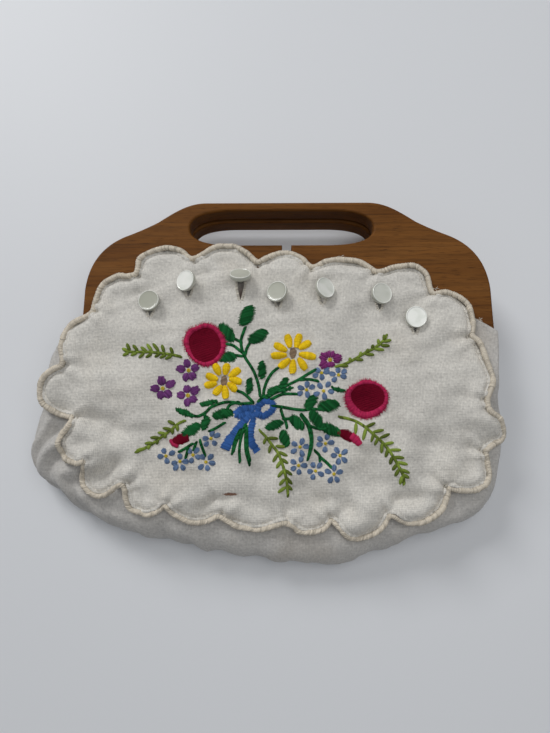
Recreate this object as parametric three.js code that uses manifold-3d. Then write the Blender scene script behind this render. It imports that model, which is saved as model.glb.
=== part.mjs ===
// A handbag with two flat wooden handle boards, lying on its back. A cloth pouch holds the lower
// part of the boards, and a scalloped cloth cover with a cord round its edge buttons on over each
// side of the pouch. Millimetres: X runs across the bag, +Y points to the grip, +Z is up.

import * as THREE from 'three';
import { mergeVertices } from 'three/addons/utils/BufferGeometryUtils.js';
import Module from 'manifold-3d';

const wasm = await Module();
wasm.setup();

// Handle boards: both have this outline, a hand slot and a narrow notch in the bar under the slot.
const boardWidth = 258.5;
const boardHeight = 104;
const boardThickness = 12.7;
const boardGap = 1.6;
const boardSlip = 1.1;
const boardEdgeRound = 1.6;
const boardCornerRound = 15;
const topEdgeLength = 106;
const gripBarHeight = 5.9;
const slotLength = 120;
const slotHeight = 24.2;
const slotStraightLength = 60;
const slotShift = -3.4;
const notchWidth = 5.9;
const notchDepth = 14;

// Cloth: the pouch reaches past the boards' sides and below their bottom edge.
const pouchWall = 1.2;
const pouchEase = 0.9;
const pouchReach = 32;
const pouchBelly = 125;
const pouchEdgeRound = 18;
const pouchSlope = 0.135;
const pouchTurn = 10;
const pouchFlat = 12;
const pouchRimRise = 2.4;
const sideFall = 5;
const foldDepth = 4;
const foldWidth = 11;
const coverWall = 1.2;
const coverBridge = 8;
const cordDiameter = 3.2;

// Buttons and their holes in the covers.
const buttonDiameter = 13;
const buttonThickness = 3.4;
const shankDiameter = 2.8;
const buttonholeLength = 14;
const buttonholeEase = 0.6;
const clearance = 0.3;

// Heights of the stack where the boards lie, from the floor up.
const backHeadSlack = 0.5;
const backCoverRise = buttonThickness + backHeadSlack;
const pouchUnderBoards = backCoverRise + coverWall + clearance;
const backBoardBottom = pouchUnderBoards + pouchWall + clearance;
const frontBoardBottom = backBoardBottom + boardThickness + boardGap;
const boardsTop = frontBoardBottom + boardThickness;
const pouchTop = boardsTop + clearance + pouchWall;
const boardSide = boardWidth / 2;
const pouchSide = boardSide + pouchEase + pouchWall;

const oak = new THREE.MeshStandardMaterial({ color: 0x6b421e, roughness: 0.55, metalness: 0 });
const linen = new THREE.MeshStandardMaterial({ color: 0xd9d6cd, roughness: 0.95, metalness: 0 });
const cordCloth = new THREE.MeshStandardMaterial({ color: 0xcfc6b2, roughness: 0.95, metalness: 0 });
const pearl = new THREE.MeshStandardMaterial({ color: 0xe6e8df, roughness: 0.25, metalness: 0 });

// Edge of the pouch seen from above, clockwise from the boards' right corner. An across of 1 is
// beside the boards, and each further 1 is one pouchReach. A down of 1 is at the boards' bottom
// edge, and 2 is one pouchBelly below it. round is a share of pouchEdgeRound, full the height of
// the fullest line as a share of pouchTop, and square is 2 for a round edge and more for a boxy one.
const pouchEdge = [
  { across: 1.00, down: 0.70, round: 0.20, full: 0.57, square: 6 },
  { across: 1.00, down: 0.88, round: 0.20, full: 0.56, square: 6 },
  { across: 1.00, down: 1.05, round: 0.24, full: 0.46, square: 3 },
  { across: 1.00, down: 1.19, round: 0.28, full: 0.40, square: 2 },
  { across: 1.06, down: 1.35, round: 0.28, full: 0.36, square: 2 },
  { across: 1.05, down: 1.50, round: 0.33, full: 0.33, square: 2 },
  { across: 0.97, down: 1.66, round: 0.45, full: 0.30, square: 2 },
  { across: 0.90, down: 1.76, round: 0.60, full: 0.27, square: 2 },
  { across: 0.75, down: 1.82, round: 0.78, full: 0.25, square: 2 },
  { across: 0.55, down: 1.89, round: 0.78, full: 0.25, square: 2 },
  { across: 0.35, down: 1.96, round: 0.85, full: 0.25, square: 2 },
  { across: 0.14, down: 2.00, round: 0.95, full: 0.25, square: 2 },
  { across: -0.11, down: 1.98, round: 0.95, full: 0.25, square: 2 },
  { across: -0.46, down: 1.91, round: 0.85, full: 0.25, square: 2 },
  { across: -0.75, down: 1.85, round: 0.78, full: 0.25, square: 2 },
  { across: -0.97, down: 1.75, round: 0.67, full: 0.27, square: 2 },
  { across: -1.24, down: 1.67, round: 0.60, full: 0.33, square: 2 },
  { across: -1.74, down: 1.59, round: 0.90, full: 0.27, square: 2 },
  { across: -1.99, down: 1.49, round: 1.10, full: 0.25, square: 2 },
  { across: -1.91, down: 1.36, round: 1.00, full: 0.25, square: 2 },
  { across: -1.74, down: 1.24, round: 0.67, full: 0.30, square: 2 },
  { across: -1.71, down: 1.12, round: 0.40, full: 0.36, square: 2 },
  { across: -1.60, down: 0.99, round: 0.45, full: 0.42, square: 2 },
  { across: -1.54, down: 0.87, round: 0.50, full: 0.48, square: 2 },
  { across: -1.21, down: 0.77, round: 0.39, full: 0.53, square: 3 },
  { across: -1.00, down: 0.66, round: 0.20, full: 0.57, square: 6 },
];

// Folds pressed into the cloth below the boards: a straight line from one point to another, with
// its depth as a share of foldDepth, negative for a valley, and its width as a share of foldWidth.
const folds = [
  { fromAcross: -1.34, fromDown: 1.20, toAcross: -0.74, toDown: 1.40, depth: -0.9, width: 1.0 },
  { fromAcross: -0.99, fromDown: 1.42, toAcross: -0.72, toDown: 1.47, depth: 0.5, width: 0.9 },
  { fromAcross: -0.93, fromDown: 1.59, toAcross: -0.62, toDown: 1.45, depth: -0.8, width: 0.9 },
  { fromAcross: 0.93, fromDown: 1.38, toAcross: 0.84, toDown: 1.49, depth: -0.5, width: 0.8 },
  { fromAcross: 0.43, fromDown: 1.74, toAcross: 0.59, toDown: 1.70, depth: -0.5, width: 0.8 },
  { fromAcross: -0.37, fromDown: 1.74, toAcross: -0.25, toDown: 1.70, depth: -0.5, width: 0.8 },
];

// The covers' scallops, clockwise from the left: where each starts, how far it bulges as a share
// of its own chord, and where along the chord it stands furthest out.
const scallops = [
  { across: -0.93, down: 0.73, bulge: 0.25, lean: 0.47 },
  { across: -0.73, down: 0.49, bulge: 0.32, lean: 0.36 },
  { across: -0.46, down: 0.40, bulge: 0.23, lean: 0.46 },
  { across: -0.14, down: 0.42, bulge: 0.22, lean: 0.46 },
  { across: 0.12, down: 0.45, bulge: 0.17, lean: 0.46 },
  { across: 0.43, down: 0.48, bulge: 0.30, lean: 0.60 },
  { across: 0.70, down: 0.62, bulge: 0.31, lean: 0.50 },
  { across: 0.87, down: 0.89, bulge: 0.17, lean: 0.56 },
  { across: 0.93, down: 1.22, bulge: 0.34, lean: 0.55 },
  { across: 0.92, down: 1.46, bulge: 0.42, lean: 0.45 },
  { across: 0.75, down: 1.64, bulge: 0.27, lean: 0.45 },
  { across: 0.48, down: 1.77, bulge: 0.32, lean: 0.50 },
  { across: 0.20, down: 1.79, bulge: 0.24, lean: 0.50 },
  { across: 0.00, down: 1.81, bulge: 0.13, lean: 0.46 },
  { across: -0.31, down: 1.78, bulge: 0.19, lean: 0.44 },
  { across: -0.56, down: 1.73, bulge: 0.34, lean: 0.40 },
  { across: -0.77, down: 1.63, bulge: 0.50, lean: 0.45 },
  { across: -0.95, down: 1.52, bulge: 0.42, lean: 0.42 },
  { across: -1.06, down: 1.30, bulge: 0.46, lean: 0.55 },
  { across: -1.26, down: 1.05, bulge: 0.21, lean: 0.43 },
];

// Buttons from left to right. tilt is how far the head has tipped and toward the way its face
// turns, both in degrees, with 0 to the right and 90 up the bag.
const buttons = [
  { across: -0.65, down: 0.68, tilt: 10, toward: 135 },
  { across: -0.47, down: 0.56, tilt: 30, toward: 180 },
  { across: -0.22, down: 0.54, tilt: 52, toward: 90 },
  { across: -0.04, down: 0.63, tilt: 25, toward: 135 },
  { across: 0.17, down: 0.61, tilt: 35, toward: 10 },
  { across: 0.44, down: 0.64, tilt: 20, toward: 0 },
  { across: 0.60, down: 0.78, tilt: 10, toward: 300 },
];

// The pouch's mouth runs over the boards' faces as an arc, from the middle down to the sides.
// Both levels are shares of the boards' height.
const mouthMiddle = 0.476;
const mouthAtSide = 0.846;

// Turn an across share and a down share into a place on the bag, measured from the middle of the
// boards' top edge.
function place(across, down) {
  const past = Math.max(0, Math.abs(across) - 1);
  const beside = Math.min(1, Math.abs(across)) * pouchSide + past * pouchReach;
  const below = Math.min(1, down) * boardHeight + Math.max(0, down - 1) * pouchBelly;
  return new THREE.Vector2(Math.sign(across) * beside, -below);
}

function ease(t) {
  const held = THREE.MathUtils.clamp(t, 0, 1);
  return held * held * (3 - 2 * held);
}

// How far a point lies outside the boards, seen from above.
function pastBoards(point) {
  const beside = Math.max(0, Math.abs(point.x) - boardSide);
  const below = Math.max(0, -boardHeight - point.y);
  return Math.hypot(beside, below);
}

function foldHeight(point) {
  let height = 0;
  for (const fold of folds) {
    const start = place(fold.fromAcross, fold.fromDown);
    const end = place(fold.toAcross, fold.toDown);
    const line = new THREE.Line3(
      new THREE.Vector3(start.x, start.y, 0), new THREE.Vector3(end.x, end.y, 0));
    const spot = new THREE.Vector3(point.x, point.y, 0);
    const nearest = line.closestPointToPoint(spot, true, new THREE.Vector3());
    const away = nearest.distanceTo(spot) / (fold.width * foldWidth);
    height += fold.depth * foldDepth * Math.exp(-away * away);
  }
  return height;
}

// The pouch hangs level for a short way past the boards, then slopes down to its edge, and falls
// a little more at both sides. flat is how far it stays level.
const pouchMiddle = -12;
function topHeight(point, flat) {
  const past = Math.max(0, pastBoards(point) - flat);
  const slope = pouchSlope * (Math.hypot(past, pouchTurn) - pouchTurn);
  const beside = Math.max(0, Math.abs(point.x - pouchMiddle) / pouchSide - 0.69) / 0.38;
  const loose = ease(past / 30);
  return pouchTop - slope + loose * (foldHeight(point) - sideFall * beside * beside);
}

function backCoverHeight(point) {
  return backCoverRise * (1 - ease(pastBoards(point) / 30));
}

// Underside of the pouch: on the back cover, and higher towards its rim to leave room for the cord.
function bottomHeight(point, share) {
  const lying = coverWall + clearance + pouchRimRise * ease((share - 0.45) / 0.25);
  const hanging = 1 - ease((pastBoards(point) - pouchFlat) / 60);
  return lying + (pouchUnderBoards - lying) * hanging;
}

// A closed surface from rings of points, each ring going anticlockwise seen from above, between a
// first point above and a last point below.
function closedSkin(first, rings, last) {
  const count = rings[0].length;
  const points = [first, ...rings.flat(), last];
  const index = [];
  for (let i = 0; i < count; i++) {
    const next = (i + 1) % count;
    index.push(0, 1 + i, 1 + next);
    for (let ring = 0; ring < rings.length - 1; ring++) {
      const here = 1 + ring * count;
      const below = here + count;
      index.push(here + i, below + i, below + next, here + i, below + next, here + next);
    }
    const lowest = 1 + (rings.length - 1) * count;
    index.push(points.length - 1, lowest + next, lowest + i);
  }
  const geometry = new THREE.BufferGeometry().setFromPoints(points);
  geometry.setIndex(index);
  return geometry;
}

function toSolid(geometry) {
  const bare = geometry.clone();
  bare.deleteAttribute('normal');
  bare.deleteAttribute('uv');
  const merged = mergeVertices(bare, 1e-4);
  return new wasm.Manifold(new wasm.Mesh({
    numProp: 3,
    vertProperties: new Float32Array(merged.attributes.position.array),
    triVerts: new Uint32Array(merged.index.array),
  }));
}

function toGeometry(solid) {
  const mesh = solid.getMesh();
  const geometry = new THREE.BufferGeometry();
  geometry.setAttribute('position', new THREE.BufferAttribute(mesh.vertProperties, 3));
  geometry.setIndex(new THREE.BufferAttribute(mesh.triVerts, 1));
  geometry.computeVertexNormals();
  return geometry;
}

const bag = new THREE.Group();
function addPiece(name, geometry, material) {
  const mesh = new THREE.Mesh(geometry, material);
  mesh.name = name;
  bag.add(mesh);
  return mesh;
}

// Half of the boards' outline, as curves from the end of the straight top edge to the plumb side.
// Each row has the curve's two handles and its end, as shares of half the width and of the height.
const shoulderCurves = [
  { leave: [0.50, 0.00], arrive: [0.565, 0.055], end: [0.65, 0.13] },
  { leave: [0.70, 0.165], arrive: [0.75, 0.195], end: [0.80, 0.22] },
  { leave: [0.90, 0.27], arrive: [0.99, 0.37], end: [1.00, 0.58] },
];

function boardOutline() {
  const at = ([across, down]) => [across * boardSide, -down * boardHeight];
  const half = new THREE.Path();
  half.moveTo(topEdgeLength / 2, 0);
  for (const curve of shoulderCurves) {
    half.bezierCurveTo(...at(curve.leave), ...at(curve.arrive), ...at(curve.end));
  }
  const corner = [boardSide - boardCornerRound, boardCornerRound - boardHeight];
  half.absarc(...corner, boardCornerRound, 0, -Math.PI / 2, true);
  const right = half.getPoints(5);
  const left = right.map((point) => new THREE.Vector2(-point.x, point.y)).reverse();
  return new THREE.Shape([...right, ...left]);
}

// The slot has a straight middle and fuller than round ends; the notch opens into its lower edge.
function handSlot() {
  const straight = slotStraightLength / 2;
  const reach = slotLength / 2;
  const high = slotHeight / 2;
  const fullness = 0.66;
  const bendX = straight + (reach - straight) * fullness;
  const bendY = high * fullness;
  const centreY = -gripBarHeight - high;
  const slot = new THREE.Path();
  const curve = (x1, y1, x2, y2, x, y) => slot.bezierCurveTo(
    slotShift + x1, centreY + y1, slotShift + x2, centreY + y2, slotShift + x, centreY + y);
  const notch = notchWidth / 2;
  slot.moveTo(slotShift + straight, centreY + high);
  slot.lineTo(slotShift - straight, centreY + high);
  curve(-bendX, high, -reach, bendY, -reach, 0);
  curve(-reach, -bendY, -bendX, -high, -straight, -high);
  slot.lineTo(-notch, centreY - high);
  slot.absarc(0, centreY - high - notchDepth + notch, notch, Math.PI, 2 * Math.PI, false);
  slot.lineTo(notch, centreY - high);
  slot.lineTo(slotShift + straight, centreY - high);
  curve(bendX, -high, reach, -bendY, reach, 0);
  curve(reach, bendY, bendX, high, straight, high);
  return new THREE.Path(slot.getPoints(4));
}

function boardGeometry() {
  const outline = boardOutline();
  outline.holes.push(handSlot());
  const geometry = new THREE.ExtrudeGeometry(outline, {
    depth: boardThickness - 2 * boardEdgeRound,
    bevelThickness: boardEdgeRound,
    bevelSize: boardEdgeRound,
    bevelOffset: -boardEdgeRound,
    bevelSegments: 2,
  });
  geometry.translate(0, 0, boardEdgeRound);
  return toGeometry(toSolid(geometry));
}

const handleFront = addPiece('handle_front', boardGeometry(), oak);
handleFront.position.set(0, 0, frontBoardBottom);
const handleBack = addPiece('handle_back', boardGeometry(), oak);
handleBack.position.set(0, -boardSlip, backBoardBottom);

// A smooth value between the rows of the pouch's edge table, which closes on itself.
const hub = new THREE.Vector2(-12, -140);
function edgeRow(position) {
  const blankLevel = mouthMiddle * boardHeight - 9;
  const rows = pouchEdge.map((row) => ({ ...row, point: place(row.across, row.down) }));
  const topRow = { round: 0.2, full: 0.57, square: 6 };
  for (const share of [-0.96, -0.5, 0, 0.5, 0.96]) {
    rows.push({ ...topRow, point: new THREE.Vector2(share * pouchSide, -blankLevel) });
  }
  const count = rows.length;
  const start = Math.floor(position);
  const t = position - start;
  const near = [-1, 0, 1, 2].map((step) => rows[(start + step + count) % count]);
  const weights = [
    0.5 * (-t + 2 * t * t - t * t * t),
    0.5 * (2 - 5 * t * t + 3 * t * t * t),
    0.5 * (t + 4 * t * t - 3 * t * t * t),
    0.5 * (-t * t + t * t * t),
  ];
  const mix = (read) => near.reduce((sum, row, i) => sum + weights[i] * read(row), 0);
  return {
    point: new THREE.Vector2(mix((row) => row.point.x), mix((row) => row.point.y)),
    round: mix((row) => row.round) * pouchEdgeRound,
    full: mix((row) => row.full) * pouchTop,
    square: mix((row) => row.square),
    count,
  };
}

// One closed pillow: a skin set in from the pouch's outer form by inset, in steps round its edge.
function pillow(inset, stepsPerRow) {
  const directions = [];
  const count = edgeRow(0).count * stepsPerRow;
  for (let i = 0; i < count; i++) {
    directions.push(edgeRow(-i / stepsPerRow + edgeRow(0).count));
  }
  const ringAt = (shape) => directions.map((row) => shape(row));
  const along = (row, distance) => row.point.clone().sub(hub).setLength(distance).add(hub);
  const reachOf = (row) => row.point.distanceTo(hub);

  const top = (row, share) => {
    const distance = share * (reachOf(row) - row.round);
    const point = along(row, distance);
    return new THREE.Vector3(point.x, point.y, topHeight(point, pouchFlat) - inset);
  };
  const bottom = (row, share) => {
    const distance = share * (reachOf(row) - row.round);
    const point = along(row, distance);
    const height = bottomHeight(point, distance / reachOf(row)) + inset;
    return new THREE.Vector3(point.x, point.y, height);
  };
  const rounded = (row, turn, edgePoint) => {
    const power = 2 / row.square;
    const out = (row.round - inset) * Math.abs(Math.sin(turn)) ** power;
    const point = along(row, reachOf(row) - row.round + out);
    const drop = Math.abs(Math.cos(turn)) ** power;
    return new THREE.Vector3(point.x, point.y, row.full + (edgePoint.z - row.full) * drop);
  };

  const rings = [];
  for (const share of [0.3, 0.55, 0.8, 0.93]) {
    rings.push(ringAt((row) => top(row, share)));
  }
  const turns = [0, 0.35, 0.7, 1].map((part) => part * Math.PI / 2);
  for (const turn of turns) {
    rings.push(ringAt((row) => rounded(row, turn, top(row, 1))));
  }
  for (const turn of turns.slice(0, -1).reverse()) {
    rings.push(ringAt((row) => rounded(row, turn, bottom(row, 1))));
  }
  for (const share of [0.75, 0.33]) {
    rings.push(ringAt((row) => bottom(row, share)));
  }
  const above = new THREE.Vector3(hub.x, hub.y, topHeight(hub, pouchFlat) - inset);
  const below = new THREE.Vector3(hub.x, hub.y, bottomHeight(hub, 0) + inset);
  return toSolid(closedSkin(above, rings, below));
}

// Everything above the mouth's arc, cut away from the pouch.
function mouthCutter() {
  const middle = mouthMiddle * boardHeight;
  const sag = (mouthAtSide - mouthMiddle) * boardHeight;
  const radius = (boardSide * boardSide + sag * sag) / (2 * sag);
  const reach = pouchSide + pouchReach;
  const halfAngle = Math.asin(Math.min(1, pouchSide / radius));
  const shape = new THREE.Shape();
  shape.absarc(0, -middle - radius, radius, Math.PI / 2 + halfAngle, Math.PI / 2 - halfAngle, true);
  shape.lineTo(reach, shape.currentPoint.y);
  shape.lineTo(reach, boardHeight);
  shape.lineTo(-reach, boardHeight);
  shape.lineTo(-reach, shape.getPoint(0).y);
  const geometry = new THREE.ExtrudeGeometry(shape, {
    depth: 2 * pouchTop, bevelEnabled: false, curveSegments: 16,
  });
  geometry.translate(0, 0, -pouchTop / 2);
  return toSolid(geometry);
}

const pouch = pillow(0, 3).subtract(pillow(pouchWall, 2)).subtract(mouthCutter());
addPiece('pouch', toGeometry(pouch), linen);

// Points round the scalloped edge, anticlockwise, each with its tangent. Where two scallops meet
// the edge turns sharply, and miter is how much further a line beside it has to stand.
const stepsPerScallop = 4;
function scallopedEdge() {
  const starts = scallops.map((row) => place(row.across, row.down));
  const points = [];
  scallops.forEach((row, i) => {
    const start = starts[i];
    const chord = starts[(i + 1) % starts.length].clone().sub(start);
    const outward = new THREE.Vector2(-chord.y, chord.x);
    for (let step = 0; step < stepsPerScallop; step++) {
      const t = step / stepsPerScallop;
      const along = t + 2 * (2 * row.lean - 1) * t * (1 - t);
      const out = row.bulge * Math.sin(Math.PI * t);
      points.push(start.clone().addScaledVector(chord, along).addScaledVector(outward, out));
    }
  });
  points.reverse();
  return points.map((point, i) => {
    const before = points[(i - 1 + points.length) % points.length];
    const after = points[(i + 1) % points.length];
    const into = point.clone().sub(before).normalize();
    const outOf = after.clone().sub(point).normalize();
    const tangent = into.clone().add(outOf).normalize();
    return { point, tangent, miter: 1 / Math.max(0.7, tangent.dot(into)) };
  });
}

const edge = scallopedEdge();
const coverHub = new THREE.Vector2(-10, -125);
const coverInset = cordDiameter / 2 + clearance + 0.1;

// The hole for a shank: round where the shank passes, and running to a point down the bag.
function buttonhole(centre) {
  const radius = shankDiameter / 2 + buttonholeEase;
  const shape = new THREE.Shape();
  shape.absarc(centre.x, centre.y, radius, 0, Math.PI, false);
  shape.lineTo(centre.x, centre.y + radius - buttonholeLength);
  const geometry = new THREE.ExtrudeGeometry(shape, {
    depth: 2 * pouchTop, bevelEnabled: false, curveSegments: 6,
  });
  geometry.translate(0, 0, -pouchTop / 2);
  return toSolid(geometry);
}

const buttonPlaces = buttons.map((button) => place(button.across, button.down));

function coverGeometry(heightAt) {
  const rim = edge.map(({ point, tangent, miter }) => {
    const inward = new THREE.Vector2(-tangent.y, tangent.x);
    return point.clone().addScaledVector(inward, coverInset * miter);
  });
  const face = (share, lift) => rim.map((corner) => {
    const point = coverHub.clone().lerp(corner, share);
    return new THREE.Vector3(point.x, point.y, heightAt(point) + lift);
  });
  const shares = [0.35, 0.65, 0.88, 1];
  const rings = shares.map((share) => face(share, coverWall));
  rings.push(...shares.slice().reverse().map((share) => face(share, 0)));
  const middle = heightAt(coverHub);
  const above = new THREE.Vector3(coverHub.x, coverHub.y, middle + coverWall);
  const below = new THREE.Vector3(coverHub.x, coverHub.y, middle);
  let cover = toSolid(closedSkin(above, rings, below));
  for (const centre of buttonPlaces) {
    cover = cover.subtract(buttonhole(centre));
  }
  return toGeometry(cover);
}

const coverFlat = pouchFlat + coverBridge;
const frontCoverHeight = (point) => topHeight(point, coverFlat) + clearance;
addPiece('cover_front', coverGeometry(frontCoverHeight), linen);
addPiece('cover_back', coverGeometry(backCoverHeight), linen);

// A closed cord along the scalloped edge, with its centre at the height heightAt gives.
function cordGeometry(heightAt) {
  const sides = 6;
  const radius = cordDiameter / 2;
  const points = [];
  const index = [];
  edge.forEach(({ point, tangent, miter }, i) => {
    const next = (i + 1) % edge.length;
    for (let side = 0; side < sides; side++) {
      const angle = 2 * Math.PI * side / sides;
      const out = radius * miter * Math.cos(angle);
      points.push(new THREE.Vector3(
        point.x + tangent.y * out,
        point.y - tangent.x * out,
        heightAt(point) + radius * Math.sin(angle)));
      const beside = (side + 1) % sides;
      const [a, b] = [i * sides + side, next * sides + side];
      const [c, d] = [next * sides + beside, i * sides + beside];
      index.push(a, b, c, a, c, d);
    }
  });
  const geometry = new THREE.BufferGeometry().setFromPoints(points);
  geometry.setIndex(index);
  return toGeometry(toSolid(geometry));
}

const cordRadius = cordDiameter / 2;
const backCordLift = 0.2;
const frontCordHeight = (point) => topHeight(point, coverFlat) + clearance + cordRadius;
const boardCordHeight = pouchUnderBoards - clearance - cordRadius;
const floorCordHeight = cordRadius + backCordLift;
const backCordHeight = (point) => {
  const held = 1 - ease(pastBoards(point) / 30);
  return floorCordHeight + (boardCordHeight - floorCordHeight) * held;
};
addPiece('edge_cord_front', cordGeometry(frontCordHeight), cordCloth);
addPiece('edge_cord_back', cordGeometry(backCordHeight), cordCloth);

// A button: a low round head with a soft rim, on a short shank. The head has its underside at the
// origin, and the shank goes down from it.
function buttonHead() {
  const radius = buttonDiameter / 2;
  const profile = [[0, 0], [0.8, 0], [1, 0.5], [0.8, 1], [0, 0.93]];
  const points = profile.map(([out, up]) =>
    new THREE.Vector2(out * radius, up * buttonThickness));
  const head = new THREE.LatheGeometry(points, 10);
  head.rotateX(Math.PI / 2);
  return head;
}

function shankSolid(length) {
  const shank = new THREE.CylinderGeometry(shankDiameter / 2, shankDiameter / 2, length, 6);
  shank.rotateX(Math.PI / 2);
  shank.translate(0, 0, length / 2);
  return toSolid(shank);
}

const shankFoot = pouchTop + clearance;
buttons.forEach((button, i) => {
  const tilt = THREE.MathUtils.degToRad(button.tilt);
  const toward = THREE.MathUtils.degToRad(button.toward);
  const clearOfCover = pouchTop + 2 * clearance + coverWall - shankFoot;
  const raise = clearOfCover + buttonDiameter / 2 * Math.sin(tilt);
  const head = buttonHead();
  const tip = new THREE.Vector3(-Math.sin(toward), Math.cos(toward), 0);
  head.applyMatrix4(new THREE.Matrix4().makeRotationAxis(tip, tilt));
  head.translate(0, 0, raise);
  const shankLength = raise + buttonThickness / 2 * Math.cos(tilt);
  const solid = toSolid(head).add(shankSolid(shankLength));
  const piece = addPiece(`button_front_${i + 1}`, toGeometry(solid), pearl);
  piece.position.set(buttonPlaces[i].x, buttonPlaces[i].y, shankFoot);
});

buttonPlaces.forEach((centre, i) => {
  const shankLength = pouchUnderBoards - clearance - buttonThickness / 2;
  const shank = shankSolid(shankLength).translate(0, 0, buttonThickness / 2);
  const head = buttonHead();
  head.rotateX(Math.PI);
  head.translate(0, 0, buttonThickness);
  const solid = toSolid(head).add(shank);
  const piece = addPiece(`button_back_${i + 1}`, toGeometry(solid), pearl);
  piece.position.set(centre.x, centre.y, 0);
});

// The origin is under the middle of the bag, on the floor.
const extent = new THREE.Box3().setFromObject(bag);
const middle = extent.getCenter(new THREE.Vector3());
for (const piece of bag.children) {
  piece.position.sub(new THREE.Vector3(middle.x, middle.y, extent.min.z));
}

export default bag;
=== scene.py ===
"""Looks of the wooden handle bag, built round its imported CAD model.

The bag lies on its back. X runs across it, +Y points to the grip and +Z is up, in metres."""

import math

import bmesh
import bpy
import numpy as np
from mathutils import Matrix, Vector, geometry


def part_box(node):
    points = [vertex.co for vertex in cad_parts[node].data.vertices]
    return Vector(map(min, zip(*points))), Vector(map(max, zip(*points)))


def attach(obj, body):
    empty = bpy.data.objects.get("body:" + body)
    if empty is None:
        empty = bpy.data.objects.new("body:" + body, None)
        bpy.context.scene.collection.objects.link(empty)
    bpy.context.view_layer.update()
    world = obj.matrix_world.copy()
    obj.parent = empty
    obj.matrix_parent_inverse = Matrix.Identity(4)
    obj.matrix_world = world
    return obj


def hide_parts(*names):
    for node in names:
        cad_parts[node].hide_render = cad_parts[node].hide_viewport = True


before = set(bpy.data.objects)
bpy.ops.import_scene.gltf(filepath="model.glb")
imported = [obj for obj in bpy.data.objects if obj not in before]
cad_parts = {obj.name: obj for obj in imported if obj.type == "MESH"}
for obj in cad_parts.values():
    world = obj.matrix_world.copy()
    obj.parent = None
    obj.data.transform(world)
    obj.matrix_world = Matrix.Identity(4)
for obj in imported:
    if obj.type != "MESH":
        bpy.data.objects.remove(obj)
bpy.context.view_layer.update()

# The camera of the photograph, almost straight above the bag and tipped a little to the grip.
# Its pixels also place what is sewn on the cloth, so it comes first.
photo_width, photo_height = 550, 733
focal_pixels = 520.0
camera_data = bpy.data.cameras.new("Photograph view")
camera_data.sensor_width = 36.0
camera_data.lens = camera_data.sensor_width * focal_pixels / photo_height
camera = bpy.data.objects.new("Photograph view", camera_data)
camera.location = (0.01175, -0.0629, 0.3469)
camera.rotation_euler = [math.radians(angle) for angle in (12.0, 0.754, 0.160)]
bpy.context.scene.collection.objects.link(camera)
bpy.context.scene.camera = camera


def from_photo(px, py, height):
    """Where the line of sight through a pixel of the photograph comes down to a height."""
    px, py, height = np.broadcast_arrays(*(np.asarray(v, float) for v in (px, py, height)))
    across = (px - photo_width / 2) / focal_pixels
    up = (photo_height / 2 - py) / focal_pixels
    ray = np.stack([across, up, -np.ones_like(across)])
    ray = np.tensordot(np.array(camera.rotation_euler.to_matrix()), ray, 1)
    steps = (height - camera.location.z) / ray[2]
    return camera.location.x + steps * ray[0], camera.location.y + steps * ray[1]


# Two flat hardwood boards are the handles. Both are sawn to one outline with rounded edges, a long
# hand slot and a narrow notch under it, and are oiled to a dull shine with the grain along the bag.
front_low, front_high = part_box("handle_front")
board_middle = (front_low.x + front_high.x) / 2
board_side = (front_high.x - front_low.x) / 2
board_top_edge = front_high.y
board_height = front_high.y - front_low.y
boards_top = front_high.z
edge_round = 0.0016


def add_node(tree, kind, inputs=(), **settings):
    """Add a node to a tree, set what it has, and fill its inputs with values or join them."""
    node = tree.nodes.new(kind)
    for name, value in settings.items():
        setattr(node, name, value)
    for key, value in dict(inputs).items():
        if isinstance(value, bpy.types.NodeSocket):
            tree.links.new(value, node.inputs[key])
        else:
            node.inputs[key].default_value = value
    return node


def color_ramp(tree, factor, stops):
    """A colour ramp; a stop is its place and its colour or grey."""
    ramp = add_node(tree, "ShaderNodeValToRGB", {"Fac": factor})
    while len(ramp.color_ramp.elements) < len(stops):
        ramp.color_ramp.elements.new(0.5)
    for element, (spot, color) in zip(ramp.color_ramp.elements, stops):
        element.position = spot
        element.color = (*(color if hasattr(color, "__len__") else (color,) * 3), 1)
    return ramp.outputs["Color"]


def stretched_noise(tree, coords, scale, **inputs):
    """Noise that is finer along one axis than along another; scale is in waves a metre."""
    mapping = add_node(tree, "ShaderNodeMapping", {"Vector": coords, "Scale": scale})
    inputs = {"Vector": mapping.outputs["Vector"], "Scale": 1.0, **inputs}
    return add_node(tree, "ShaderNodeTexNoise", inputs).outputs["Fac"]


def mix_colors(tree, factor, first, second, blend="MIX"):
    node = add_node(tree, "ShaderNodeMix", {0: factor, 6: first, 7: second},
                    data_type="RGBA", blend_type=blend)
    return node.outputs[2]


def calculate(tree, operation, first, second=0.0, third=0.0):
    node = add_node(tree, "ShaderNodeMath", {0: first, 1: second, 2: third}, operation=operation)
    return node.outputs["Value"]


def new_finish(name):
    """A material with its node tree and its surface shader."""
    material = bpy.data.materials.new(name)
    material.use_nodes = True
    tree = material.node_tree
    return material, tree, tree.nodes["Principled BSDF"]


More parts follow.
